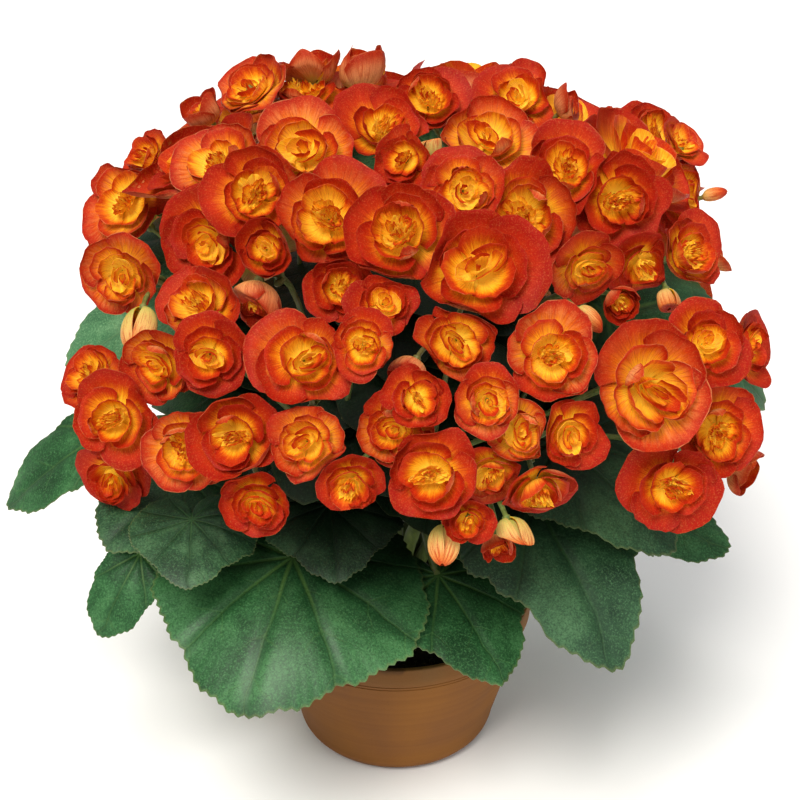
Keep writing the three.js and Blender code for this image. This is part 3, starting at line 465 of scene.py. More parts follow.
def petalFinish(side):
    finish = Finish("petal" + side.capitalize(), Specular_IOR_Level=0.1, Subsurface_Weight=0.15,
                    Subsurface_Scale=0.003, Subsurface_Radius=(1, 0.4, 0.1), Emission_Strength=petalPaintedLight)
    along, across = finish.value("along"), finish.value("across")
    layer, tone = finish.value("layer"), finish.value("tone")
    place = finish.place()
    broad = finish.noise(finish.vector(across * 4 + tone * 17, along * 1.2, tone * 9), 1, 3, 0.6)
    fine = finish.noise(finish.vector(across * 13 + tone * 31, along * 2.2, tone * 5), 1, 5, 0.8)
    cloud = finish.noise(place, 70, 3)
    lines = finish.noise(finish.vector(across * 36 + tone * 11, along * 1.8, tone * 3), 1, 2)
    grain = finish.noise(place, 1500, 2, 0.7)
    streaks = broad * 0.35 + fine * 0.5 + lines * 0.15
    stretch = 1 - layer * 0.6 - tone * 0.27
    band = along.fade(0.74, 1) * broad.fade(0.3, 0.6) * (1 - layer) * 0.2
    at = along * stretch + (streaks - 0.5) * 0.7 + (cloud - 0.5) * 0.14 + band - layer * 0.06
    heart, tints = finish.ramp(at, *petalColours["front"]), petalColours
    if side == "front":
        patch = along.fade(0.3, 0.55) * along.fade(0.7, 0.95, 1, 0) * tone.fade(0.1, 0.7)
        colour = finish.mix(patch * fine.fade(0.4, 0.6, 0, 0.4), heart, tints["pale"])
    else:
        bud = finish.ramp(along + (fine - 0.5) * 0.55 + tone * 0.3, *tints["bud"])
        budVeins = fine.fade(0.5, 0.58) * along.fade(0.25, 0.6)
        veins = fine.fade(0.5, 0.6) * along.fade(0.1, 0.5)
        patch = along.fade(0.2, 0.4) * along.fade(0.66, 0.95, 1, 0)
        colour = finish.covered(
            finish.ramp(at, *tints["back"]), (patch * 0.45, tints["fold"]), (veins * 0.5, tints["vein"]),
            (layer.fade(0.3, 0.5), heart),
            (layer.fade(-0.4, -0.1, 1, 0), finish.mix(budVeins * 0.6, bud, tints["vein"])))
    thin = lines.fade(0.5, 0.64) * along.fade(0.12, 0.4) * along.fade(0.8, 1, 1, 0.3)
    rim = along.fade(0.97, 0.998) * broad.fade(0.42, 0.62) * tone.fade(-0.4, 0.8, 0.05, 0.45)
    colour = finish.covered(
        colour, (thin * 0.4, tints["line"]), (grain.fade(0.5, 0.72) * 0.16, tints["lightGrain"]),
        (grain.fade(0.3, 0.48, 1, 0) * 0.16, tints["darkGrain"]), (rim, tints["edge"]))
    # painted light: the inner petals give off their own colour, standing in for light that comes through
    # them
    paintedHeartLight = finish.mix(layer.fade(0.15, 0.7), "000000", colour)
    height = fine * 0.6 + broad * 0.6 + lines * 0.35 + grain * 0.14
    return finish.wear(Base_Color=colour, Emission_Color=paintedHeartLight, Roughness=streaks.fade(0.3, 0.7, 0.48, 0.64),
                       Normal=finish.bump(height, 0.45, 0.5))


# the second colour is painted shade, for blades deep inside the dome
leafEdgeColour, leafPaintedShadeColour = "7C8148", "030B03"
leafVeins = {"between": 36, "spacing": 0.27, "lean": 0.78}  # degrees, shares of the length, d over t


def leafFinish(name, deep, mid, light, vein, side="front"):
    finish = Finish(name, Specular_IOR_Level=0.1 if side == "front" else 0.2, Coat_Roughness=0.38)
    x, y = finish.value("flatX"), finish.value("flatY")
    tone, along = finish.value("tone"), finish.value("along")
    place = finish.place()
    flat = finish.vector(x, y, tone * 7)
    reach = (x * x + y * y) ** 0.5
    sector = math.radians(leafVeins["between"])
    bend = (finish.noise(flat, 2.0, 2) - 0.5) * 0.36
    turn = y.angleFrom(x) + bend * reach
    inSector = ((turn / sector + 0.5).fract() - 0.5) * sector  # the angle from the nearest vein
    aside, ahead = abs(inSector.sine()) * reach, inSector.cosine() * reach
    thin = 1 - reach * 0.7
    main = (aside / (thin * 0.013 + 0.003)).fade(0.3, 1.4, 1, 0)
    beside = (aside / 0.05).fade(0.1, 1.5, 1, 0) * reach.fade(0.05, 0.3)
    kink = finish.noise(flat, 5, 2) * 0.12
    rung = abs(((ahead - aside * leafVeins["lean"] + kink) / leafVeins["spacing"] + 0.32).fract() - 0.5)
    nearVein = abs(inSector / sector).fade(0.22, 0.42, 1, 0)
    forks = (rung * leafVeins["spacing"]).fade(0.002, 0.012, 1, 0) * ahead.fade(0.16, 0.3) * nearVein
    net = finish.cells(finish.scaled(flat, 26, 26, 1), 1, "DISTANCE_TO_EDGE")
    pebbles = finish.cells(finish.scaled(flat, 105, 105, 1), 1)
    grain = finish.noise(place, 950, 3, 0.85)
    clouds = finish.noise(flat, 3.0, 4, warp=0.5)
    # painted shade: deep inside the dome, where the flowers shade it, the blade darkens to near black and
    # loses its coat gloss
    shade = finish.inside(0.5, 0.86, 0.88)
    # the light flecks of the grain are partly painted glints of the satin blade, partly its pebbled grain;
    # the dark flecks are grain
    blade = finish.covered(
        finish.ramp(clouds * 0.8 + grain * 0.2, (0.34, deep), (0.5, mid), (0.68, light)),
        (grain.fade(0.5, 0.66) * 0.75, light), (grain.fade(0.34, 0.5, 1, 0) * 0.6, deep),
        (beside * 0.45, deep), (net.fade(0, 0.14, 0.25, 0), deep),
        (main * reach.fade(0.06, 0.5, 0.5, 0.1), vein), (forks * 0.08, vein),
        (along.fade(0.975, 1) * 0.3, leafEdgeColour), (shade, leafPaintedShadeColour))
    height = (1 - main) * 0.9 + (1 - forks) * 0.3 + net.fade(0, 0.3) * 0.15
    relief = height + (1 - pebbles) * 0.14 + grain * 0.4
    varying = {"Base_Color": blade, "Roughness": 0.6, "Normal": finish.bump(relief, 0.6, 0.9)}
    if side == "front":
        varying.update(Roughness=grain.fade(0.35, 0.7, 0.36, 0.6), Coat_Weight=(1 - shade) * 0.34)
    return finish.wear(**varying)


clay, earth, stemGreen = clayFinish(), earthFinish(), stemFinish()
petalFront, petalBack = petalFinish("front"), petalFinish("back")
leafDark = leafFinish("leafDark", "16321C", "2B4F30", "4C744C", "4A7640")
leafMiddle = leafFinish("leafMiddle", "163A1C", "2A5A30", "4A7E4C", "6A9446")
leafLight = leafFinish("leafLight", "2F5C3A", "4C7D53", "75A072", "8BB070")
leafUnder = leafFinish("leafUnder", "4C6B45", "688A5C", "86A277", "A9B77C", "back")
print("finishes are mixed")


# The pot and its soil

pot = {
    "rimRadius": 75, "footRadius": 52, "height": 91, "wall": 3, "floor": 5, "footRound": 12,
    "bandHeight": 12, "bandStep": 0.6, "bandEase": (0.3, 1.1, 5), "rimRound": 0.9,
    "wallSteps": (20, 38, 56, 71), "waist": 45, "innerRound": 5, "innerCorner": (1.5, 1.6), "floorRing": 20,
    "grooves": (76.4, 78.6), "grooveDepth": 0.45, "grooveWidth": 0.7, "grooveLip": 1.4,
    "drains": 5, "drainRadius": 5, "drainRing": 32, "drainReach": (-4, 2.5, 9), "sides": 192,
}
potLean = (pot["rimRadius"] - pot["bandStep"] - pot["footRadius"]) / (pot["height"] - pot["bandHeight"])


def outer(z):  # the pot's radius outside, at a height
    return pot["footRadius"] + potLean * z


def arc(middle, radius, start, end, steps=6):  # points of a circle, the angles in degrees
    return [(middle[0] + radius * math.cos(a), middle[1] + radius * math.sin(a))
            for a in np.radians(np.linspace(start, end, steps))]


def potProfile():  # from the middle of the foot, up outside, over the rim and down inside
    high, wall, floor, foot = pot["height"], pot["wall"], pot["floor"], pot["footRound"]
    corner = outer(foot) - foot
    profile = [(0, 0), (corner * 0.5, 0), *arc((corner, foot), foot, -90, 0, 9)]
    profile += [(outer(z), z) for z in pot["wallSteps"]]
    half, deep = pot["grooveWidth"] / 2, pot["grooveDepth"]
    lip = half * pot["grooveLip"]
    for z in pot["grooves"]:
        profile += [(outer(z - lip), z - lip), (outer(z) - deep, z - half / 2),
                    (outer(z) - deep, z + half / 2), (outer(z + lip), z + lip)]
    rim, bend, band = pot["rimRadius"], pot["rimRound"], high - pot["bandHeight"]
    under, start, straight = (band + ease for ease in pot["bandEase"])
    profile += [(outer(under), under), (rim, start), (rim, straight)]
    profile += arc((rim - bend, high - bend), bend, 0, 90)
    profile += arc((rim - wall + bend, high - bend), bend, 90, 180)
    profile += [(outer(z) - wall, z) for z in (band, pot["waist"], floor + foot)]
    aside, up = pot["innerCorner"]
    profile += [(outer(floor) - wall - aside, floor + up), (outer(floor) - wall - pot["innerRound"], floor)]
    return profile + [(pot["floorRing"], floor), (0, floor)]


def makePot():
    profile = potProfile()
    growth = Growth()
    ends = [(0, 0, profile[0][1]), (0, 0, profile[-1][1])]
    addRings(growth, turnedRings(profile[1:-1], turns(pot["sides"])), ends, 0)
    made = growth.piece("turnedPot", [clay], "pot", 40)
    drill = Growth()
    for i in range(pot["drains"]):
        turn = 2 * math.pi * (i + 0.5) / pot["drains"]
        x, y = pot["drainRing"] * math.cos(turn), pot["drainRing"] * math.sin(turn)
        addTube(drill, [(x, y, z) for z in pot["drainReach"]], pot["drainRadius"], 0, 24)
    mesh = bpy.data.meshes.new("drains")
    mesh.from_pydata((np.concatenate(drill.points) * metre).tolist(), [], drill.faces)
    cutter = placed("drains", mesh)
    holes = made.modifiers.new("drains", "BOOLEAN")
    holes.object, holes.operation, holes.solver = cutter, "DIFFERENCE", "EXACT"
    settled = bpy.data.meshes.new_from_object(made.evaluated_get(bpy.context.evaluated_depsgraph_get()))
    made.modifiers.clear()
    made.data = settled
    bpy.data.objects.remove(cutter)


soil = {
    "top": 77, "edgeDrop": 2, "gap": 0.6, "mound": 4, "lump": 0.9, "crumble": 0.42,
    "sides": 150, "rings": 46,
    "reach": (0, 0.45, 0.8, 1), "rise": (1, 0.8, 0.4, -0.5),  # shares of the radius and of the mound
    "crumbs": 420, "crumbSize": (0.8, 2.6), "crumbWidth": (0.7, 0.6), "crumbRough": (0.82, 0.36),
    "crumbEdge": 4, "crumbLift": 0.25, "seed": 11,
}
soilInset = pot["wall"] + soil["gap"]
soilRim = outer(soil["top"] - soil["edgeDrop"]) - soilInset


def soilHeight(x, y):
    out = np.clip(np.hypot(x, y) / soilRim, 0, 1)
    height = soil["top"] + soil["mound"] * np.interp(out, soil["reach"], soil["rise"])
    lumps = np.sin(0.31 * x + 0.17 * y) + np.sin(0.37 * y - 0.11 * x)
    crumble = (np.sin(1.13 * x + 2.1 * np.sin(0.61 * y)) + np.sin(1.27 * y + 1.7 * np.sin(0.83 * x))
               + 0.7 * np.sin(2.3 * x - 1.9 * y) + 0.6 * np.sin(2.9 * y + 2.2 * x))
    inside = smoothstep(out, 1.0, 0.9)
    return height + inside * (lumps * soil["lump"] + crumble * soil["crumble"])


def addCrumbs(growth):
    shape = bmesh.new()
    bmesh.ops.create_icosphere(shape, subdivisions=1, radius=1)
    corners = np.array([list(v.co) for v in shape.verts])
    faces = np.array([[v.index for v in f.verts] for f in shape.faces])
    shape.free()
    dice = np.random.default_rng(soil["seed"])
    (width, wider), (rough, rougher) = soil["crumbWidth"], soil["crumbRough"]
    for _ in range(soil["crumbs"]):
        reach, angle = (soilRim - soil["crumbEdge"]) * math.sqrt(dice.random()), 2 * math.pi * dice.random()
        size = lerp(*soil["crumbSize"], dice.random() ** 2.5)
        stretch = size * (width + wider * dice.random((1, 3)))
        crumb = corners * stretch * (rough + rougher * dice.random((len(corners), 1)))
        x, y = reach * math.cos(angle), reach * math.sin(angle)
        z = float(soilHeight(x, y)) + size * soil["crumbLift"]
        growth.add(crumb + vec(x, y, z), [(faces, 0)])


def makeSoil():
    growth = Growth()
    turn = turns(soil["sides"])
    out = np.linspace(1, 0.02, soil["rings"])[:, None] * soilRim
    x, y = out * np.cos(turn), out * np.sin(turn)
    top = np.stack([x, y, soilHeight(x, y)], axis=-1)
    floor, low, waist = pot["floor"] + soil["gap"], pot["floor"] + pot["footRound"], pot["waist"]
    below = [(pot["floorRing"], floor), (outer(pot["floor"]) - soilInset - pot["innerRound"], floor),
             (outer(low) - soilInset, low), (outer(waist) - soilInset, waist)]
    grid = np.concatenate([turnedRings(below, turn), top])
    addRings(growth, grid, [(0, 0, floor), (0, 0, float(soilHeight(0, 0)))], 0)
    addCrumbs(growth)
    growth.piece("pottingSoil", [earth], "soil", 180)


makePot()
makeSoil()
print("pot and soil are in place")


# Where the flowers stand: as each shows in the photograph, on the dome that the plant makes

crowding = 1.12  # a flower's whole width against what shows of it
shownCymes = [  # x, y and width in the photograph, facing (right, up, to the view), how far back, how open,
    # how far the orange runs out over its petals (-1 to 1), how far its heart stands aside (right, up)
    [(132, 206, 91.2, (-0.25, 0.1, 0.9), 0, 1, 0.8, (0.14, -0.04)),
     (152, 161, 56.76, (-0.5, 0.3, 0.7), 12)],
    [(123, 271, 80.84, (-0.15, -0.45, 0.8), 2, 1, 0.6, (0.2, 0.04)),
     (143, 307, 50.4, (0.1, -0.9, 0.3), 12, 0.05, -0.7)],
    [(225, 170, 86.48, (-0.3, 0.4, 0.8), 2, 1, 0.7), (214, 122, 49.4, (-0.5, 0.6, 0.5), 8, 0.4)],
    [(257, 100, 88, (-0.45, 0.5, 0.7), 8, 1, 0.8), (305, 98, 88, (0.1, 0.5, 0.8), 8, 1, -0.2),
     (304, 157, 97, (0.1, 0.2, 0.9), 0, 1, 0.6, (-0.05, -0.06))],
    [(313, 90, 66.7, (-0.1, 0.9, 0.1), 16, 0.6, 0.8), (358, 91, 62.5, (0.1, 0.95, 0.2), 4, 0.2, 0.8)],
    [(380, 134, 84.6, (0.3, 0.3, 0.8), 6), (408, 160, 60, (-0.3, 0, 0.9), 12),
     (429, 158, 36, (0.1, 0.9, 0.4), 12, 0.05, -0.8)],
    [(428, 105, 74.1, (0.1, 0.2, 0.9), 0, 1, -0.4), (488, 147, 91.18, (0, 0.4, 0.8), 12, 1, 0.9)],
    [(520, 103, 76, (-0.1, 0.3, 0.9), 0, 1, 0), (558, 116, 46.2, (0.7, 0.4, 0.4), 6, 0.3)],
    [(214, 237, 88, (-0.2, -0.3, 0.9), 10, 1, -0.9),
     (255, 196, 86.48, (0.1, -0.1, 0.95), 0, 1, None, (0.06, 0.02))],
    [(330, 221, 100.8, (0, -0.1, 1), 4, 1, 0.2, (-0.02, 0.06)),
     (400, 238, 100.7, (0, 0, 1), -3, 1, -0.2, (-0.05, 0.1))],
    [(462, 193, 80.96, (-0.1, 0.1, 1), 0, 1, 0.1), (521, 218, 100, (0, -0.3, 0.95), 8, 1, 0.3)],
    [(564, 174, 82.8, (0, 0.05, 1), 0, 1, -0.3, (0, 0.06)), (608, 147, 80, (-0.1, 0.4, 0.7), 16, 1, 0.9)],
    [(650, 139, 72, (0.2, 0.3, 0.9), 4), (674, 148, 54, (0.4, 0.4, 0.8), 10)],
    [(614, 197, 92, (0, -0.25, 0.95), 0, 1, -0.8, (0.02, -0.1)),
     (638, 260, 70, (0.1, -0.6, 0.7), 12, 1, -0.9)],
    [(683, 195, 93.6, (0.2, 0, 0.95), 4), (701, 197, 26.4, (0.9, 0.1, 0.3), 2, 0.05, 0.9)],
    [(683, 254, 74.48, (0.4, -0.1, 0.9), 0, 1, 0.1), (665, 287, 37.4, (0, -0.95, 0.2), 12, 0.05, 0.8)],
    [(616, 298, 44, (0.1, -0.5, 0.8), 10, 0.3), (583, 264, 68, (0.2, -0.6, 0.7), 8),
     (578, 308, 38, (0.6, -0.7, 0.3), 14, 0.05)],
    [(478, 272, 112.8, (0, -0.15, 1), 0, 1, -0.35, (0, 0.14)), (456, 340, 81, (0, -0.1, 1), 10, 1, 0.4),
     (416, 360, 48, (-0.4, -0.7, 0.2), 18, 0.25)],
    [(267, 250, 58.9, (0.1, -0.1, 1), 2, 0.7, -0.7), (258, 282, 64.4, (0, -0.9, 0.1), 16, 0.3, 0.5)],
    [(206, 310, 77.28, (-0.2, 0.4, 0.8), 10), (212, 354, 75.6, (0, -0.1, 1)),
     (163, 363, 69.3, (-0.25, -0.3, 0.9), 12, 1, 0.6)],
    [(98, 379, 66.96, (-0.3, 0.4, 0.8), 8, 1, 0.6),
     (119, 417, 80.84, (-0.1, -0.05, 1), 0, 1, 0.3, (0, -0.02)), (116, 469, 72, (-0.2, -0.5, 0.8), 10)],
    [(187, 447, 79.2, (-0.1, -0.2, 0.95), 10, 1, 0.4), (237, 435, 79.2, (0.05, 0, 1), 0, 1, -0.3),
     (258, 498, 67.08, (0, -0.45, 0.9), 6, 1, -0.7)],
    [(304, 361, 90.72, (0, 0, 1), 0, 1, 0, (0.16, 0.02)), (308, 441, 72, (0, 0, 1), 2)],
    [(363, 345, 64.8, (0, 0, 1), -4), (382, 305, 63, (0.1, 0, 1), 4),
     (340, 288, 66, (0, -0.2, 0.9), 18, 1, -0.8)],
    [(352, 478, 61.6, (0, -0.5, 0.85), 4, 1, -0.6), (397, 426, 72, (-0.1, -0.15, 1), 10),
     (416, 398, 58.48, (0, 0, 1), -2, 1, -0.8)],
    [(550, 355, 86.24, (0.1, 0, 1), 0, 1, 0.5, (-0.06, -0.04)), (487, 400, 64.6, (0, -0.1, 1), 0, 1, 0.5),
     (516, 432, 68, (0, -0.2, 0.95), 8)],
    [(567, 431, 68.64, (0.2, -0.2, 0.95), 4, 1, -0.1), (535, 481, 74.1, (0.2, -0.7, 0.5), 12)],
    [(432, 472, 86.48, (0, -0.15, 1), 0, 1, -0.2, (-0.1, 0.02)),
     (467, 517, 48.36, (0, -0.35, 0.9), 3, 0.8, -0.5), (445, 525, 42, (-0.1, -0.95, 0.2), 12, 0.05, -0.3)],
    [(490, 468, 60, (0.1, -0.5, 0.7), 14), (507, 516, 48.3, (0.3, -0.9, 0.1), 10, 0.05, -0.3),
     (497, 535, 38, (0, -0.9, 0.4), 16, 0.3)],
    [(644, 385, 108.8, (0.05, -0.1, 1), -4, 1, 0.95, (0.12, -0.14))],
    [(702, 345, 80.84, (0.2, 0.1, 0.95), 0, 1, -0.5), (740, 350, 70.3, (0.7, 0.1, 0.6), 8)],
    [(714, 430, 85.5, (0.15, 0, 1), 0, 1, 0.1, (-0.12, -0.1)),
     (668, 484, 86, (0, -0.35, 0.95), 2, 1, -0.7, (0.02, 0.14)), (731, 464, 50, (0.7, -0.5, 0.4), 10, 0.6)],
]
backCymes = {
    "count": 6, "jitter": 4, "inset": 8, "insetJitter": 3, "turnJitter": 0.2,
    "levels": [(-2, 45, 140, 80), (25, 17, 163, 90), (51, 8, 172, 78)],  # latitude, azimuths, width
    "smaller": {(0, 1): 0.42, (5, 1): 0.72, (0, 2): 0.9, (5, 2): 0.9},  # by cyme and level
}
def onDome(x, y, inset):
    ray = unit(sight["forward"] * studio["focal"] + sight["right"] * (x - studio["axisAt"][0])
               + sight["up"] * (studio["axisAt"][1] - y))
    reach = dome["reach"] - inset
    start, along = (eye - dome["centre"]) / reach, ray / reach
    a, b, c = along @ along, start @ along, start @ start - 1
    root = math.sqrt(max(0, b * b - a * c))
    return eye + ray * (-b - root) / a


def shownFlower(x, y, across, look, sunk=0, opened=1, tone=None, lean=None):
    place = onDome(x, y, dome["bloomInset"] + sunk)
    depth = (place - eye) @ sight["forward"]
    facing = unit(sight["right"] * look[0] + sight["up"] * look[1] - sight["forward"] * look[2])
    facing = unit(facing + dome["outwardTurn"] * unit(place - dome["centre"]))
    radius = crowding * across / 2 * depth / studio["focal"]
    return {"place": place, "facing": facing, "radius": radius, "open": opened, "tone": tone, "lean": lean}


def backFlower(cyme, level):
    latitude, start, end, across = backCymes["levels"][level]
    index = cyme * 3 + level
    jitter, spread = backCymes["jitter"], backCymes["turnJitter"]
    azimuth = math.radians(lerp(start, end, cyme / (backCymes["count"] - 1)) + jitter * draw(index, 1))
    height = math.radians(latitude + jitter * draw(index, 2))
    depth = dome["bloomInset"] + backCymes["inset"] + backCymes["insetJitter"] * draw(index, 3)
    out = vec(math.cos(azimuth) * math.cos(height), math.sin(azimuth) * math.cos(height), math.sin(height))
    place = dome["centre"] + out * (dome["reach"] - depth)
    facing = unit(out + vec(spread * draw(index, 4), spread * draw(index, 5), dome["outwardTurn"]))
    radius = backCymes["smaller"].get((cyme, level), 1) * across / 2
    return {"place": place, "facing": facing, "radius": radius, "open": 1, "tone": None, "lean": None}


cymes = [[shownFlower(*one) for one in cyme] for cyme in shownCymes]
cymes += [[backFlower(i, level) for level in range(3)] for i in range(backCymes["count"])]
flowers = [f for cyme in cymes for f in cyme]

hearts = {"lean": 0.12, "cup": 0.55, "sideView": (0.7, 0.25)}  # for the flowers whose values aren't given
pressing = {  # how crowded flowers press on each other
    "flatness": 0.42, "middle": 0.3, "reach": 1.2, "share": (0.3, 0.7), "start": 4, "end": 0.45,
    "rounds": 10, "wave": 2, "waveTurns": vec(0.21, 0.17, 0.24), "otherTurns": vec(-0.15, 0.23, 0.12),
}
for number, f in enumerate(flowers):
    f["index"] = number
    if f["tone"] is None:
        f["tone"] = draw(number, 150)
    if f["lean"] is None:
        f["lean"] = (hearts["lean"] * draw(number, 152), hearts["lean"] * draw(number, 153))
    f["lean"] = (sight["right"] * f["lean"][0] + sight["up"] * f["lean"][1]) * f["open"]
    f["middle"] = f["place"] + f["facing"] * pressing["middle"] * f["radius"]
    toFace = Vector((0, 0, 1)).rotation_difference(Vector(f["facing"]))
    turn = math.pi * draw(number, 6)
    f["across"], f["other"] = (turned(vec(*(toFace @ Vector(v))), f["facing"], turn)
                               for v in ((1, 0, 0), (0, 1, 0)))


def stretched(f, v):
    axial = f["facing"] @ v
    flat = v - f["facing"] * axial
    return flat / f["radius"] ** 2 + f["facing"] * axial / (pressing["flatness"] * f["radius"]) ** 2


def neighbourPlanes(f):
    planes = []
    for g in flowers:
        between = g["middle"] - f["middle"]
        if g is f or np.linalg.norm(between) > pressing["reach"] * (f["radius"] + g["radius"]):
            continue
        nearF = math.sqrt(stretched(f, between) @ between)
        nearG = math.sqrt(stretched(g, between) @ between)
        share = min(max(nearG / (nearF + nearG), pressing["share"][0]), pressing["share"][1])
        normal = -unit(stretched(f, between) + stretched(g, between))
        wave = pressing["wave"] * (1 if f["index"] < g["index"] else -1)  # both flowers share the surface
        planes.append((normal, normal @ (f["middle"] + between * share), wave))
    return planes


def gapTo(points, plane):  # how far points stand from the waving surface between two flowers
    normal, offset, wave = plane
    swing = np.sin(points @ pressing["waveTurns"]) + np.sin(points @ pressing["otherTurns"])
    return points @ normal - offset - wave * 0.5 * swing


def press(points, planes, spare=0):  # moves points to their own side of each plane
    p = np.array(points, dtype=float)
    shape = p.shape
    p = p.reshape(-1, 3)
    end = pressing["end"] + spare
    soft = pressing["start"] - pressing["end"]
    for plane in planes:
        gap = gapTo(p, plane)
        moved = end + soft * np.exp(np.minimum(gap - end - soft, 0) / soft)
        p += np.where(gap < end + soft, moved - gap, 0)[:, None] * plane[0]
    for _ in range(pressing["rounds"]):
        for plane in planes:
            p += np.maximum(end - gapTo(p, plane), 0)[:, None] * plane[0]
    return p.reshape(shape)


for f in flowers:
    f["planes"] = neighbourPlanes(f)
    aside = float(smoothstep(-(f["facing"] @ sight["forward"]), *hearts["sideView"]))
    f["cup"] = max(aside, hearts["cup"] * draw(f["index"], 154))
print(len(flowers), "flowers in", len(cymes), "cymes")


# Petals, by shares of the flower's radius: reach from its axis and rise along it

bloom = {
    "thick": 0.4, "rim": 0.12, "budOpenness": 0.1,  # the first two in mm
    "guards": {"layer": 0, "spare": 0, "drop": 0.36, "wave": 0.035, "grid": (12, 17),
               "shut": [(0.05, 0.02), (0.5, 0.08), (0.9, 0.6), (0.55, 1.5)],
               "wide": [(0.05, 0.02), (0.45, 0.06), (0.86, 0.16), (1, 0.34)]},
    "inner": {"layer": 0.22, "spare": 0.6, "drop": 0.42, "wave": 0.035, "grid": (11, 15),
              "shut": [(0.05, 0.06), (0.4, 0.1), (0.54, 0.6), (0.5, 1.08)],
              "wide": [(0.05, 0.06), (0.4, 0.1), (0.64, 0.26), (0.74, 0.52)]},
    "fold": {"layer": 0.3, "spare": 1, "drop": 0.5, "wave": 0.03, "grid": (9, 11), "curl": 0,
             "wide": [(0.05, 0.06), (0.46, 0.06), (0.64, 0.5), (0.4, 0.74)]},
    "middle": {"layer": 0.45, "spare": 1.2, "drop": 0.36, "wave": 0.03, "grid": (10, 13), "half": 70,
               "tilt": 0.06, "spoon": 0.02,
               "shut": [(0.05, 0.08), (0.36, 0.12), (0.46, 0.6), (0.4, 1.02)],
               "wide": [(0.05, 0.08), (0.36, 0.12), (0.5, 0.34), (0.54, 0.6)]},
    "swirl": {"layer": 0.7, "spare": 1.8, "drop": 0.26, "wave": 0.024, "grid": (8, 13), "half": 80,
              "tilt": 0.04, "spoon": 0, "waves": 1.3, "twist": 0.5, "count": 7},
    "frill": {"layer": 0.8, "spare": 1.8, "drop": 0.34, "wave": 0.085, "grid": (6, 10), "waves": 3.1,
              "spoon": -0.03, "curl": 0, "count": 30, "smallCount": 18, "smallRadius": 19},
    "budGuards": {"half": 98, "drop": 0.06, "wave": 0.012, "tilt": 0.02},
    "budInner": {"half": 80, "drop": 0.12, "wave": 0.01, "tilt": 0, "spare": 0.5},
    "bud": {"layer": -0.5, "flat": 0.62, "spoon": 0, "curl": 0},
    "budPaths": [[(0.05, -0.02), (0.84, 0.1), (0.92, 1.5), (0.1, 1.8)],
                 [(0.04, 0.1), (0.5, 0.3), (0.55, 1.3), (0.06, 1.7)]],
}


def addPetal(growth, f, petal):
    rows, columns = petal["grid"]
    across = np.linspace(-1, 1, columns)[None, :]
    along = np.linspace(0.04, 1, rows)[:, None]
    outline = 1 - petal["drop"] * np.abs(across) ** 2.3
    notch = petal.get("notch", 0) * np.exp(-(across / 0.14) ** 2)
    s = along * (outline - notch)
    path = bezier([(*p, 0) for p in petal["path"]], s)
    reach, rise = path[..., 0], path[..., 1]
    angle = petal["turn"] + math.radians(petal["half"]) * across * (0.55 + 0.45 * np.sqrt(s))
    angle = angle + petal.get("twist", 0) * s
    ripple = np.sin(across * petal["waves"] * math.pi + petal["phase"])
    finer = np.sin(across * petal["waves"] * 2.7 * math.pi + petal["phase"] * 1.7)
    edge = s ** 3
    rise = rise + petal["wave"] * edge * ripple + petal["tilt"] * across * s
    reach = reach + petal["wave"] * 0.7 * edge * finer
    rise = rise + petal["spoon"] * across ** 2 * s
    reach = reach - petal["curl"] * smoothstep(s, 0.72, 1.0) ** 2
    rise = rise - petal.get("roll", 0) * smoothstep(s, 0.8, 1.0) ** 2
    x = f["radius"] * reach * np.cos(angle)
    y = f["radius"] * reach * np.sin(angle) * petal.get("flat", 1)
    z = f["radius"] * rise
    if "heading" in petal:
        c, w = math.cos(petal["heading"]), math.sin(petal["heading"])
        x, y = x * c - y * w, x * w + y * c
    grid = (f["place"] + x[..., None] * f["across"] + y[..., None] * f["other"]
            + z[..., None] * f["facing"])
    aside = smoothstep(petal["layer"], 0.0, 0.5) * np.clip(rise / 0.5, 0, 1) ** 1.5
    grid = grid + (f["radius"] * aside)[..., None] * f["lean"]
    grid = press(grid, f["planes"], petal["spare"])
    shown = np.broadcast_to(s / np.maximum(outline - notch, 0.01), s.shape)
    thick = lerp(bloom["thick"], bloom["rim"], shown ** 3)[..., None]
    addSheet(growth, grid, thick, (0, 1), along=shown, across=np.broadcast_to(across, s.shape),
             layer=petal["layer"], tone=petal["tone"])


